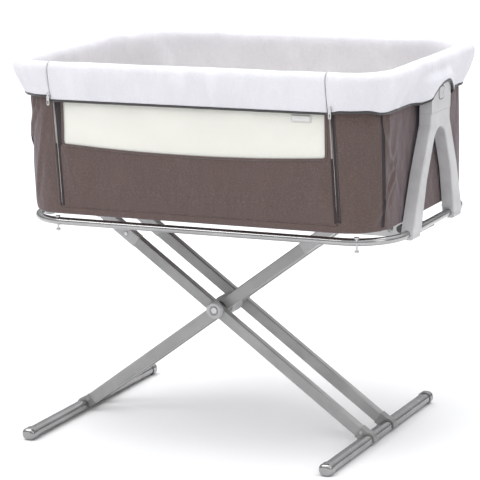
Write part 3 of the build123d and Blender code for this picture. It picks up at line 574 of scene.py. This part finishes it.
def wall_columns(step, z, gap):
    """Arclengths of the columns at each height, from the gate's right edge round to its left and across it."""
    zc = np.maximum(z, GATE_LOW)
    right = gate_x(1, zc) + gap
    left = PERIMETER + gate_x(-1, zc) - gap
    n = int((PERIMETER - 0.7) / step)
    base = np.linspace(GATE_START, GATE_END, n)
    near_right = 1 - smooth(0, 0.1, base - base[0])
    near_left = 1 - smooth(0, 0.1, base[-1] - base)
    s = base[None] + column(right - base[0]) * near_right + column(left - base[-1]) * near_left
    across = np.linspace(0, 1, int(GATE_WIDE / step) + 2)[1:-1]
    front = column(left) + column(right + PERIMETER - left) * across[None]
    return np.concatenate([s, front], axis=1), n


def build_wall(name, slot, step, top, low, inset, gap, thick, open_low, curl=0):
    """The wall or its lining, open at the gate above open_low, with its lower edge turned in by curl."""
    rows = [top]
    while rows[-1] > low + curl + step * 0.6:
        rows.append(rows[-1] - step)
    rows = np.array(rows)
    cut = int(np.argmin(np.abs(rows - open_low)))
    rows[cut] = open_low
    rows[-1] = low + curl
    s, n = wall_columns(step, rows, gap)
    z = np.repeat(column(rows), s.shape[1], axis=1)
    points = wall_points(s, z, inset)
    if curl:
        place, out = wall_ring(s[-1])
        turned = []
        for k in range(1, CURL_ROWS + 1):
            turn = PI / 2 * k / CURL_ROWS
            xy = place - out * (inset + curl * (1 - math.cos(turn)))
            turned.append(np.column_stack([xy, np.full(len(xy), low + curl * (1 - math.sin(turn)))]))
        points = np.concatenate([points, np.array(turned)], axis=0)
        s = np.concatenate([s, np.repeat(s[-1:], CURL_ROWS, axis=0)], axis=0)
        below = low + curl - 0.0019 * np.arange(1, CURL_ROWS + 1)
        z = np.concatenate([z, np.repeat(column(below), s.shape[1], axis=1)], axis=0)
    keep = np.ones((points.shape[0] - 1, points.shape[1]), bool)
    keep[:cut, n - 1 :] = False
    return turned_grid(name, points, np.dstack([s, z]), True, keep, "basket", slot, thick=thick)


wall = build_wall(
    "basket_wall", "brown_fabric", 0.0048, WALL_TOP, WALL_LOW, 0, 0.0008, 0.0016, GATE_LOW - 0.0005, 0.006
)
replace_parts(wall, "basket_fabric")


def bottom_points(inset, z, nx, ny, sag):
    """A floor cloth that reaches to inset from the wall's outline, sagging in its middle."""
    half_x, half_y, radius = BODY_X - inset, BODY_Y - inset, BODY_R - inset
    x = np.linspace(-half_x, half_x, nx)
    beyond = np.clip(np.abs(x) - (half_x - radius), 0, radius)
    reach = half_y - radius + np.sqrt(np.maximum(radius**2 - beyond**2, 0))
    t = column(np.linspace(-1, 1, ny))
    xs = np.repeat(x[None], ny, axis=0)
    ys = t * reach[None]
    middle = np.clip(1 - (np.abs(xs) / half_x) ** 4, 0, 1) * np.clip(1 - t**4, 0, 1)
    zs = z - sag * middle * (1 + 0.4 * ripple(xs * 14, ys * 16, 4))
    return np.dstack([xs, ys, zs])


# Bottom cloth, joined to the wall's lower edge
under = bottom_points(0.0058, 0.5646, 150, 100, 0.0012)
bottom = grid("basket_bottom", under, under[..., :2], "basket", "brown_fabric", thick=0.0014)
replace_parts(bottom, "basket_fabric")

lining = build_wall("lining_wall", "cream_fabric", 0.008, 0.898, 0.5685, 0.003, 0.008, 0.001, GATE_LOW - 0.003)
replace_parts(lining, "basket_lining")
inner_floor = bottom_points(0.0042, 0.5671, 100, 70, 0)
floor_cloth = grid("lining_floor", inner_floor, inner_floor[..., :2], "basket", "cream_fabric", thick=0.001)
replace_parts(floor_cloth, "basket_lining")


# ---- drop side
# The drop side's folds: X at its middle height, slope, half width and height in mm
PANEL_FOLDS = (
    (-0.315, -0.24, 0.0065, 3.4), (-0.296, -0.42, 0.01, 2), (-0.225, -0.15, 0.016, 1.2),
    (-0.14, -0.5, 0.022, 0.7), (0.05, 0.35, 0.025, 0.7), (0.19, -0.25, 0.02, 0.8),
    (0.315, 0.35, 0.01, 1.8),
)


def panel_swell(x, z):
    """How far the drop side's cloth stands out, in metres: it is held at the zips and the hinge line."""
    across = (x - gate_x(-1, z)) / (gate_x(1, z) - gate_x(-1, z))
    high = np.clip((z - GATE_LOW) / (BAND_LOW - GATE_LOW), 0, 1.25)
    held = smooth(0, 0.055, across) * (1 - smooth(0.945, 1, across)) * smooth(0, 0.3, high)
    slack = 2.6 * np.sin(PI * np.clip(high, 0, 1)) ** 0.7 + 0.6
    wave = 0.9 * ripple(x * 21, z * 9, 5) + 0.35 * ripple(x * 63, z * 30, 6)
    fold = np.zeros_like(x * z)
    for at, slope, width, deep in PANEL_FOLDS:
        fold += deep * hill(x, at + slope * (z - 0.66), width) * smooth(0.02, 0.3, high)
    return np.clip((slack + wave + fold) * held, -0.3, 5) * MM


# The window: its left, right and top, and its arched bottom edge's heights at the sides and in the middle
WINDOW_LEFT, WINDOW_RIGHT, WINDOW_TOP = -0.331, 0.336, 0.872
WINDOW_SIDE, WINDOW_MIDDLE = 0.732, 0.7205


def window_low(x):
    return WINDOW_MIDDLE + (WINDOW_SIDE - WINDOW_MIDDLE) * ((x - 0.0025) / 0.3335) ** 2


def window_edge(count, grow):
    """The window's outline as points in X and Z, clockwise from its lower left, set outward by grow."""
    x = np.linspace(WINDOW_RIGHT, WINDOW_LEFT, 120)
    corners = [(WINDOW_LEFT, WINDOW_SIDE), (WINDOW_LEFT, WINDOW_TOP), (WINDOW_RIGHT, WINDOW_TOP)]
    points = np.vstack([corners, np.stack([x, window_low(x)], -1)])
    s = arclength(points)
    line = sample(points, s, np.linspace(0, s[-1], count))[:-1]
    for _ in range(3):
        line = (np.roll(line, 1, 0) + 2 * line + np.roll(line, -1, 0)) / 4
    way = np.roll(line, -1, 0) - np.roll(line, 1, 0)
    way /= column(np.linalg.norm(way, axis=1))
    line = line + grow * np.stack([-way[:, 1], way[:, 0]], -1)
    return np.vstack([line, line[:1]])


def window_distance(x, z):
    """Signed distance to the window's outline, negative inside it."""
    beside = np.maximum(WINDOW_LEFT - x, x - WINDOW_RIGHT)
    return np.maximum(beside, np.maximum(window_low(x) - z, z - WINDOW_TOP))


PANEL_Y, PANEL_STEP, PANEL_GAP = -BODY_Y, 0.0045, 0.0008


def on_panel(x, z, lift):
    """Points on the drop side's cloth, lifted off it."""
    return np.stack([x, PANEL_Y - panel_swell(x, z) - lift, z], -1)


rows = np.arange(WALL_TOP, GATE_LOW, -PANEL_STEP)
rows[-1] = GATE_LOW + 0.0006
share = np.linspace(0, 1, int(0.7 / PANEL_STEP))
wide = gate_x(1, rows) - gate_x(-1, rows) - 2 * PANEL_GAP
px = column(gate_x(-1, rows)) + PANEL_GAP + column(wide) * share[None]
pz = np.repeat(column(rows), len(share), axis=1)
# The faces wholly in the window go, and the points round the hole move onto its outline
inside = window_distance(px, pz) < 0
keep = ~(inside[:-1, :-1] & inside[1:, :-1] & inside[:-1, 1:] & inside[1:, 1:])
touched = np.zeros_like(inside)
for a in (slice(None, -1), slice(1, None)):
    for b in (slice(None, -1), slice(1, None)):
        touched[a, b] |= keep
edge_points = inside & touched
small = 1e-4
for _ in range(4):
    d = window_distance(px, pz)
    gx = (window_distance(px + small, pz) - window_distance(px - small, pz)) / (2 * small)
    gz = (window_distance(px, pz + small) - window_distance(px, pz - small)) / (2 * small)
    px = np.where(edge_points, px - d * gx, px)
    pz = np.where(edge_points, pz - d * gz, pz)
uvs = np.dstack([px, pz])
panel = turned_grid(
    "drop_side_panel", on_panel(px, pz, 0), uvs, False, keep, "drop_side", "brown_fabric", thick=0.0016
)
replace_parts(panel, "drop_panel")

rows = column(np.linspace(WINDOW_TOP + 0.008, WINDOW_MIDDLE - 0.007, 46))
share = np.linspace(0, 1, 180)
mx = (WINDOW_LEFT - 0.007) + (WINDOW_RIGHT - WINDOW_LEFT + 0.014) * share[None] + 0 * rows
mz = np.repeat(rows, len(share), axis=1)
mesh_points = on_panel(mx, mz, -0.0022)
mesh = grid("mesh_panel", mesh_points[::-1], np.dstack([mx, mz])[::-1], "drop_side", "mesh", thick=0.001)
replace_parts(mesh, "mesh_window")

# Folded binding round the window, sewn down along both edges
ring = window_edge(420, 0.0015)
way = np.diff(ring, axis=0)
way = np.vstack([way, way[:1]])
way /= column(np.linalg.norm(way, axis=1))
outward = np.stack([-way[:, 1], way[:, 0]], -1)
BINDING = ((-0.003, 0), (-0.0027, 0.0009), (-0.001, 0.0013), (0.001, 0.0013), (0.0027, 0.0009), (0.003, 0))
strip = np.array([on_panel(*(ring + outward * off).T, lift) for off, lift in BINDING])
across = np.repeat(column(np.linspace(0, 0.006, len(BINDING))), len(ring), 1)
uvs = np.dstack([np.repeat(arclength(ring)[None], len(BINDING), 0), across])
binding = grid("window_binding", strip, uvs, "drop_side", "brown_fabric", closed=True)


def upright_strip(name, x, tall, points, body, flip=False):
    """A dark cloth strip up the front, from rows of points that run downward."""
    uvs = np.dstack([x, tall])
    if flip:
        points, uvs = points[:, ::-1], uvs[:, ::-1]
    return grid(name, points[::-1], uvs[::-1], body, "brown_fabric", look=DARK_CLOTH)


FRONT = np.array([[0.0, -1.0, 0.0]])
z = column(np.linspace(0.837, 0.584, 90))
share = np.linspace(0, 1, 9)
edge = gate_x(-1, z) + 0.0016 + 0.015 * (0.36 + 0.64 * smooth(0.722, 0.736, z)) * share[None]
tall = np.repeat(z, 9, 1)
lift = 0.0004 + 0.0007 * np.sin(PI * share)[None] + 0 * tall
left_strip = upright_strip("left_edge_binding", edge, tall, on_panel(edge, tall, lift), "drop_side")
z = np.linspace(0.834, 0.586, 80)
sewn = [on_panel(*(ring + outward * off).T, 0.0013) for off in (-0.0018, 0.0018)]
sewn += [on_panel(gate_x(side, z) - side * 0.006, z, 0) for side in (-1, 1)]
sewn = [(line, np.repeat(FRONT, len(line), 0)) for line in sewn]
panel_stitches = stitches("drop_side_stitches", sewn, "drop_side", "brown_fabric", STITCH)

# Plain sewn tag on the mesh, with its stitches just inside its edges
TAG_LEFT, TAG_RIGHT, TAG_LOW, TAG_HIGH, TAG_SEAM = 0.254, 0.302, 0.8115, 0.8265, 0.0016
tx, tz = np.meshgrid(np.linspace(TAG_LEFT, TAG_RIGHT, 25), np.linspace(TAG_LOW, TAG_HIGH, 9))
curl = 0.0004 * np.sin((tx - TAG_LEFT) / 0.048 * PI) + 0.0003 * np.sin(tz * 900)
tag_points = on_panel(tx, tz, curl - 0.0006)
tag = grid("sewn_tag", tag_points, np.dstack([tx, tz]), "drop_side", "tag", thick=0.0006)
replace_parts(tag, "label_tag")
x0, x1, z0, z1 = TAG_LEFT + 0.002, TAG_RIGHT - 0.002, TAG_LOW + TAG_SEAM, TAG_HIGH - TAG_SEAM
bx = np.concatenate([np.linspace(x0, x1, 12), np.full(5, x1), np.linspace(x1, x0, 12), np.full(5, x0)])
bz = np.concatenate([np.full(12, z0), np.linspace(z0, z1, 5), np.full(12, z1), np.linspace(z1, z0, 5)])
line = on_panel(bx, bz, -0.0002)
sewn = [(line, np.repeat(FRONT, len(line), 0))]
tag_stitches = stitches("tag_stitches", sewn, "drop_side", "tag", STITCH, 0.002, 0.0012, 0.00022)


# ---- rim cover and piping
# Half length, half width, corner and height, in tenths of a mm: outer band, over the tube, inner hem
COVER_ROWS = (
    (4620, 3090, 920, 8380), (4636, 3096, 925, 8415), (4662, 3107, 932, 8470), (4690, 3118, 940, 8530),
    (4718, 3129, 948, 8590), (4746, 3140, 955, 8650), (4774, 3151, 963, 8710), (4802, 3162, 971, 8770),
    (4829, 3172, 978, 8830), (4855, 3182, 986, 8890), (4878, 3192, 993, 8950), (4893, 3198, 998, 9010),
    (4899, 3200, 1000, 9070), (4892, 3195, 996, 9125), (4870, 3178, 985, 9172), (4832, 3150, 965, 9212),
    (4780, 3112, 940, 9238), (4718, 3070, 920, 9248), (4650, 3030, 910, 9240), (4590, 2995, 905, 9215),
    (4537, 2965, 905, 9170), (4500, 2945, 905, 9110), (4480, 2935, 905, 9040), (4472, 2931, 909, 8960),
    *((4470, 2930, 910, z) for z in (8860, 8720, 8580, 8440, 8300, 8160, 8060, 8000)),
)
COVER_ROWS = [tuple(size / 10000 for size in row) for row in COVER_ROWS]
BAND_ROWS = 13
COVER_STEP = 0.0058


def cover_columns():
    """Columns round the cover from the gate's right edge to its left, as (piece of outline, share of it)."""
    lengths = (0.03, 0.15, 0.44, 0.15, 0.76, 0.15, 0.44, 0.15, 0.03)
    columns = []
    for k, length in enumerate(lengths):
        n = max(2, int(length / COVER_STEP))
        columns += [(k, t) for t in np.linspace(0, 1, n, endpoint=k == len(lengths) - 1)]
    return columns


def cover_point(k, t, half_x, half_y, radius, gap):
    """A point of the cover and its outward normal. Piece 9 is the front rail's own, with X as its share."""
    if k == 9:
        return (t, -half_y), (0, -1)
    return outline(k, t, half_x, half_y, radius, GATE_RIGHT + gap, GATE_LEFT - gap)


def arch(y):
    """How far the band's lower edge is lifted where it passes over an upright's head."""
    at = (-0.074, -0.06, -0.024, 0.005, 0.03, 0.046, 0.06, 0.065, 0.071)
    rise = (0, 0.011, 0.025, 0.032, 0.034, 0.032, 0.021, 0.005, 0)
    return sum(np.interp(y + d, at, rise) for d in (-0.004, -0.002, 0, 0.002, 0.004)) / 5


def edge_rise(x, y):
    """The band's lower edge hangs unevenly: higher by the left zip and corner, lower along the right end."""
    left = 0.0105 * (1 - smooth(-0.365, -0.355, x)) * (1 - smooth(-0.2, -0.09, y))
    front_right = 0.0045 * smooth(0.347, 0.38, x) * (1 - smooth(0.425, 0.452, x))
    front_right = front_right * (1 - smooth(-0.25, -0.2, y))
    right_end = -0.0045 * smooth(0.44, 0.458, x) * smooth(0.074, 0.085, np.abs(y))
    wander = 0.0012 * ripple(x * 14, y * 14, 21)
    return left + front_right + right_end + wander


def cover_soft(x, y, z, row):
    """The cover's outward shift in metres: soft puckers on the band, a rolled top and a wavy hem."""
    along = np.arctan2(y * 1.5, x) * 0.62
    band = 1 - smooth(BAND_ROWS - 5, BAND_ROWS + 3, row)
    hem = smooth(BAND_ROWS + 9, BAND_ROWS + 14, row)
    corner = smooth(0.33, 0.44, np.abs(x))
    low = 1 - smooth(0, 0.05, z - BAND_LOW)
    puff = 1.1 * ripple(along * 60, z * 30, 7) + 0.7 * ripple(along * 150, z * 20, 8) * (0.4 + 0.6 * corner)
    pucker = ripple(along * 330, z * 8, 9) * low * (0.35 + 0.65 * corner)
    shift = (puff + pucker + 1.2 * np.sin(PI * np.clip((z - BAND_LOW) / 0.062, 0, 1))) * band
    top = (1 - band) * (1 - hem)
    shift += 0.8 * ripple(along * 45, row * 0.4, 10) * top
    shift += 0.5 * ripple(along * 80, z * 60, 11) * hem
    return shift * MM


def build_cover(name, columns, gap, body):
    """The rim's cover or the front rail's: its piece, its points and their outward normals."""
    places = [[cover_point(k, t, hx, hy, r, gap) for k, t in columns] for hx, hy, r, z in COVER_ROWS]
    x, y, out_x, out_y = np.moveaxis(np.array(places).reshape(len(COVER_ROWS), len(columns), 4), 2, 0)
    rows = np.arange(len(COVER_ROWS))
    row = column(rows) + 0 * x
    z = column([r[3] for r in COVER_ROWS]) + 0 * x
    end = smooth(0.9, 0.999, np.abs(out_x))
    # The band's rows slide up where its lower edge is lifted over a head
    lift = arch(y) * (out_x**2 > 0.9999) + edge_rise(x, y) * (body == "basket")
    band = row < BAND_ROWS
    top_z = COVER_ROWS[BAND_ROWS - 1][3]
    z_new = np.where(band, top_z - (top_z - z) * (top_z - BAND_LOW - lift) / (top_z - BAND_LOW), z)
    half_x = np.interp(z_new, [r[3] for r in COVER_ROWS[:BAND_ROWS]], [r[0] for r in COVER_ROWS[:BAND_ROWS]])
    x = np.where(band & (end > 0.999), np.sign(x) * half_x, x)
    shift = cover_soft(x, y, z_new, row)
    near = 1 - smooth(0.066, 0.112, np.abs(y))
    low_high = smooth(0.815, 0.842, z_new) * (1 - smooth(0.874, 0.9, z_new))
    want = 0.5016 + 0.0006 * ripple(y * 60, z_new * 50, 12)
    shift = shift + np.where(band & (end > 0.9), np.maximum(want - np.abs(x) - shift, 0) * near * low_high, 0)
    # It lies flat where the zips' ends part it
    from_gate = np.minimum(np.abs(x - GATE_RIGHT), np.abs(x - GATE_LEFT))
    from_gate = np.where((body == "basket") & (y > -0.25), 10, from_gate)
    shift = shift * np.where(end > 0.5, 1, 0.15 + 0.85 * smooth(0, 0.02, from_gate))
    points = np.dstack([x + out_x * shift, y + out_y * shift, z_new])
    rolled = (1 - smooth(BAND_ROWS + 8, BAND_ROWS + 12, row)) * 0.0007 * ripple(x * 20, y * 26, 13)
    points[..., 2] += np.where(band, 0, 1) * rolled
    steps = np.linalg.norm(np.diff(points, axis=0), axis=2)
    down = np.concatenate([np.zeros((1, len(columns))), np.cumsum(steps, axis=0)])
    uvs = np.dstack([np.repeat(arclength(points[BAND_ROWS + 2])[None], len(rows), 0), down])
    piece = turned_grid(name, points, uvs, False, None, body, "white_fabric", thick=0.0018)
    return piece, points, np.dstack([out_x, out_y])


cover, cover_pts, cover_out = build_cover("rim_cover_cloth", cover_columns(), 0.0006, "basket")
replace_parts(cover, "rim_cover")
rail_x = np.linspace(GATE_RIGHT - 0.001, GATE_LEFT + 0.001, int(GATE_WIDE / COVER_STEP))[::-1]
rail, rail_pts, rail_out = build_cover("front_rail_cloth", [(9, x) for x in rail_x], 0, "drop_side")
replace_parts(rail, "front_rail_cover")


def edge_cord(name, points, out, body):
    """The dark piping under the band's lower edge."""
    line = points[0].copy()
    line[:, :2] -= out[0] * 0.0008
    line[:, 2] -= 0.003
    return tube(name, line, 0.0022, body, "dark_piping", 14, tall=1.75)


def band_stitches(name, points, out, body):
    line = points[1] * 0.4 + points[2] * 0.6
    normals = np.column_stack([out[0], np.full(len(line), 0.1)])
    return stitches(name, [(line, normals)], body, "white_fabric", WHITE_STITCH)


piping = edge_cord("rim_cord", cover_pts, cover_out, "basket")
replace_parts(piping, "rim_piping")
rail_piping = edge_cord("front_cord", rail_pts, rail_out, "drop_side")
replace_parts(rail_piping, "front_rail_piping")
cover_stitches = band_stitches("rim_stitches", cover_pts, cover_out, "basket")
rail_stitches = band_stitches("front_rail_stitches", rail_pts, rail_out, "drop_side")

# Topstitching each side of the corner seams
sewn = []
z = np.linspace(0.832, 0.575, 90)
for at in SEAMS:
    for off in (-0.0058, 0.0058):
        s = np.full(len(z), at + off)
        sewn.append((wall_points(s, z, 0), np.column_stack([wall_ring(s)[1], 0 * z])))
wall_stitches = stitches("wall_stitches", sewn, "basket", "brown_fabric", STITCH)

# Dark seam tapes down the corners
z = column(np.linspace(0.845, 0.572, 90))
proud = 0.0005 + 0.0005 * np.abs(np.sin(np.linspace(0, 2 * PI, 11)))[None]
for k, at in enumerate(SEAMS):
    s = at + np.linspace(-0.005, 0.005, 11)[None] + 0 * z
    tall = z + 0 * s
    upright_strip(f"seam_tape_{k}", s, tall, wall_points(s, tall, -proud), "basket")


# ---- zips
# Corners of half a tooth's outline and of its smaller face, and its faces
TOOTH_OUTLINE = ((-1, -1), (1, -1), (1, 1), (-1, 1))
TOOTH_POINTS = [(0.0014 * x, 0, 0.0008 * z) for x, z in TOOTH_OUTLINE]
TOOTH_POINTS += [(0.001 * x, -0.0009, 0.0005 * z) for x, z in TOOTH_OUTLINE]
TOOTH_FACES = ((4, 5, 6, 7), (0, 1, 5, 4), (1, 2, 6, 5), (2, 3, 7, 6), (3, 0, 4, 7), (3, 2, 1, 0))


def zip_side(side, name):
    """A zip's tape beside the gate, its stitches, and its teeth, which on the right ride on the drop side."""
    offsets = np.linspace(0.0004, 0.009, 7)
    z = np.repeat(column(np.linspace(0.835, 0.588, 90)), 7, 1)
    x = gate_x(side, z) + side * offsets[None]
    lift = 0.0002 * np.abs(np.sin(offsets * 900))[None] + 0 * z
    points = np.dstack([x, PANEL_Y - 0.0003 - lift, z])
    if side < 0:
        points = points[:, ::-1]
    look = DARK_CLOTH if side > 0 else LOOKS["brown_fabric"]
    uvs = np.dstack([x, z])
    tape = grid(f"zip_tape_{name}", points[::-1], uvs, "basket", "zip_tape", thick=0.0008, look=look)
    body, centre = ("basket", 0.0014) if side < 0 else ("drop_side", -0.0034)
    teeth_p, teeth_f, teeth_u = [], [], []
    for k, at in enumerate(np.arange(0.834, 0.59, -0.0021)):
        hand = 1 if k % 2 else -1
        middle = gate_x(side, at) + side * centre + hand * 0.0006
        front = PANEL_Y - 0.0004 if side < 0 else PANEL_Y - 0.0003 - float(panel_swell(middle, at))
        base = len(teeth_p)
        for dx, dy, dz in TOOTH_POINTS:
            teeth_p.append((middle + dx, front + dy, at + dz))
            teeth_u.append((middle + dx, at + dz))
        teeth_f += [tuple(base + i for i in face) for face in TOOTH_FACES]
    make(f"zip_teeth_{name}", teeth_p, teeth_f, teeth_u, body, "zip_tape", TOOTH, soft=False)
    z = np.linspace(0.834, 0.59, 70)
    line = np.stack([gate_x(side, z) + side * 0.0078, np.full(len(z), PANEL_Y - 0.0006), z], -1)
    sewn = [(line, np.repeat(FRONT, len(z), 0))]
    stitches(f"zip_stitches_{name}", sewn, "basket", "brown_fabric", STITCH)
    return tape


for side, name in ((-1, "left"), (1, "right")):
    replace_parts(zip_side(side, name), "zip_tapes")

# Below the window a dark flap lies over each row of teeth
tall = np.repeat(column(np.linspace(0.733, 0.586, 60)), 8, 1)
share = np.linspace(0, 1, 8)
lift = 0.0013 + 0.0006 * np.sin(PI * share)[None] + 0 * tall
FLAPS = ((-1, "left", "basket", 0.0004, 0.0042), (1, "right", "drop_side", -0.0064, -0.001))
for side, name, body, near, far in FLAPS:
    x = gate_x(side, tall) + side * (near + (far - near) * share)[None]
    rest = panel_swell(x, tall) if body == "drop_side" else 0 * tall
    points = np.dstack([x, PANEL_Y - rest - lift, tall])
    upright_strip(f"zip_flap_{name}", x, tall, points, body, side < 0)

# A thin shadow line round each release button
LEAN, BUTTON_OUT = math.radians(2), 0.0149
turn = np.linspace(0, 2 * PI, 61)
wide = 0.017 * np.sign(np.cos(turn)) * np.abs(np.cos(turn)) ** 0.55
high = 0.304 + 0.015 * np.sign(np.sin(turn)) * np.abs(np.sin(turn)) ** 0.55
for side, name in ((-1, "left"), (1, "right")):
    x = side * (0.4715 + high * math.sin(LEAN) + BUTTON_OUT * math.cos(LEAN))
    z = 0.54 + high * math.cos(LEAN) - BUTTON_OUT * math.sin(LEAN)
    tube(f"button_surround_{name}", np.stack([x, wide, z], -1), 0.001, "frame", "dark_plastic", 8)


# ---- mattress
def evaluated(piece):
    """The piece's mesh with its modifiers applied."""
    return bpy.data.meshes.new_from_object(piece.evaluated_get(bpy.context.evaluated_depsgraph_get()))


def puffed_mattress():
    """A pad inside the CAD mattress's box, puffed as cloth under pressure, then quilted."""
    low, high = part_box("mattress")
    half = (high - low) / 2
    middle = (high + low) / 2
    edge = list(corner_arcs(half.x - 0.007, half.y - 0.007, 0.078, 8, middle.x, middle.y))
    points = []
    heights = (low.z + 0.006, low.z + 0.014, high.z - 0.014, high.z - 0.006)
    for z, pull in zip(heights, (0.01, 0, 0, 0.01)):
        for x, y in edge:
            points.append((x - math.copysign(pull, x - middle.x), y - math.copysign(pull, y - middle.y), z))
    count = len(edge)
    faces = grid_faces(4, count, closed=True)
    faces += [tuple(reversed(range(count))), tuple(range(3 * count, 4 * count))]
    data = bpy.data.meshes.new("mattress_pad")
    data.from_pydata(points, [], faces)
    pad = add("mattress_pad", data)
    bpy.context.view_layer.objects.active = pad
    remesh = pad.modifiers.new("even", "REMESH")
    remesh.mode = "VOXEL"
    remesh.voxel_size = 0.006
    bpy.context.view_layer.update()
    shaped = evaluated(pad)
    pad.modifiers.remove(remesh)
    pad.data = shaped
    start = np.array([v.co for v in shaped.vertices])
    place = start.copy()
    cloth = pad.modifiers.new("puff", "CLOTH")
    feel = cloth.settings
    feel.quality, feel.mass = 5, 0.3
    feel.tension_stiffness = feel.compression_stiffness = 18
    feel.use_pressure, feel.uniform_pressure_force = True, 4
    feel.effector_weights.gravity = 0
    cloth.point_cache.frame_start = 1
    cloth.point_cache.frame_end = 20
    for number in range(1, 21):
        bpy.context.scene.frame_set(number)
    done = evaluated(pad)
    pad.modifiers.remove(cloth)
    pad.data = done
    bpy.context.scene.frame_set(1)
    moved = np.array([v.co for v in done.vertices]) - start
    size = np.linalg.norm(moved, axis=1)
    moved *= column(np.where(size > PUFF, PUFF / np.maximum(size, 1e-9), 1))
    place = start + moved
    # Flat where it rests, and inside the space it has
    room = np.array(half) - np.array((0.001, 0.001, 0))
    centre = np.array(middle)
    place = centre + np.clip(place - centre, -room, room)
    place[:, 2] = np.maximum(place[:, 2], low.z + 0.0004)
    # Quilting: rows of shallow tufts across the top, after the simulation
    u, v = (place[:, 0] - centre[0]) / QUILT, (place[:, 1] - centre[1]) / QUILT
    slants = ((u + v) / 2, (u - v) / 2)
    groove = sum(np.exp(-((np.abs(a - np.round(a)) * QUILT / 0.01) ** 2)) for a in slants)
    on_top = smooth(high.z - 0.012, high.z - 0.002, place[:, 2])
    place[:, 2] -= on_top * 0.0028 * np.clip(groove, 0, 1.2)
    pad.data.vertices.foreach_set("co", place.ravel())
    pad.data.update()
    divide = pad.modifiers.new("finer", "SUBSURF")
    divide.levels = divide.render_levels = 1
    final = evaluated(pad)
    pad.modifiers.remove(divide)
    pad.data = final
    layer = final.uv_layers.new(name="cloth")
    for face in final.polygons:
        n = face.normal
        a, b = (0, 1) if abs(n.z) > 0.6 else ((1, 2) if abs(n.x) > abs(n.y) else (0, 2))
        for loop in face.loop_indices:
            co = final.vertices[final.loops[loop].vertex_index].co
            layer.data[loop].uv = (co[a], co[b])
    final.polygons.foreach_set("use_smooth", [True] * len(final.polygons))
    final.materials.clear()
    final.materials.append(LOOKS[node_slot["mattress"]])
    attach(pad, "mattress")
    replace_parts(pad, "mattress")
    return pad, low, high


pad, pad_low, pad_high = puffed_mattress()
hx, hy = (pad_high.x - pad_low.x) / 2 - 0.0032, (pad_high.y - pad_low.y) / 2 - 0.0032
for level, name in ((pad_high.z - 0.008, "upper"), (pad_low.z + 0.008, "lower")):
    line = [(x, y, level) for x, y in corner_arcs(hx, hy, 0.082, 12)]
    tube(f"mattress_cord_{name}", [*line, line[0]], 0.002, "mattress", node_slot["mattress"], 8)


# ---- floor, light, camera
floor_data = bpy.data.meshes.new("studio_floor")
floor_data.from_pydata([(-60, -60, 0), (60, -60, 0), (60, 60, 0), (-60, 60, 0)], [], [(0, 1, 2, 3)])
floor = add("studio_floor", floor_data)
floor_look = Look("pale_floor")
floor_colour = floor_look.mix(floor_look.noise(2.0), (0.86, 0.86, 0.86), (0.88, 0.88, 0.88))
floor_look.set(Base_Color=floor_colour, Roughness=0.75, Specular_IOR_Level=0.1)
floor_data.materials.append(floor_look.mat)

# The horizon lights the tubes darkly, but is seen as a plain white backdrop
world = bpy.data.worlds.new("studio")
bpy.context.scene.world = world
sky = Nodes(world, "Background")
height = sky.node("SeparateXYZ", {0: sky.node("TexCoord").outputs["Generated"]}).outputs[2]
light = sky.remap(height, 0.0, 0.85, 0.28, 1.36)
seen = sky.node("LightPath").outputs["Is Camera Ray"]
sky.set(Strength=sky.math("ADD", light, seen), Color=(0.97, 0.98, 1.0, 1.0))


def area_light(name, place, aim, size, power):
    data = bpy.data.lights.new(name, "AREA")
    data.shape = "RECTANGLE"
    data.size, data.size_y = size
    data.energy = power
    lamp = add(name, data)
    lamp.location = place
    lamp.rotation_euler = (Vector(aim) - Vector(place)).to_track_quat("-Z", "Y").to_euler()


area_light("key", (-2.6, -3.4, 3.6), (0, 0, 0.6), (2.0, 1.6), 38)
area_light("top", (0.3, 0.4, 4.2), (0, 0, 0), (3.0, 3.0), 60)
area_light("fill", (3.8, -1.6, 1.8), (0, 0, 0.6), (1.4, 2.0), 14)
sun = bpy.data.lights.new("daylight", "SUN")
sun.energy, sun.angle = 0.75, math.radians(40)
add("daylight", sun).rotation_euler = (math.radians(18), math.radians(-14), 0)

# The camera looks at a point in the middle of the stand, from 5.567 m away
azimuth, elevation, roll = (math.radians(a) for a in (25.9, 12.25, -1.55))
view = Matrix.Rotation(azimuth, 4, "Z") @ Matrix.Rotation(PI / 2 - elevation, 4, "X")
view = view @ Matrix.Rotation(roll, 4, "Z") @ Matrix.Translation((0, 0, 5.567))
camera_data = bpy.data.cameras.new("camera")
camera_data.lens, camera_data.sensor_width = 172.25, 36.0
camera = add("camera", camera_data)
camera.matrix_world = Matrix.Translation((-0.0264, 0, 0.4601)) @ view
bpy.context.scene.camera = camera
bpy.context.scene.view_settings.view_transform = "Standard"
bpy.context.scene.view_settings.look = "None"
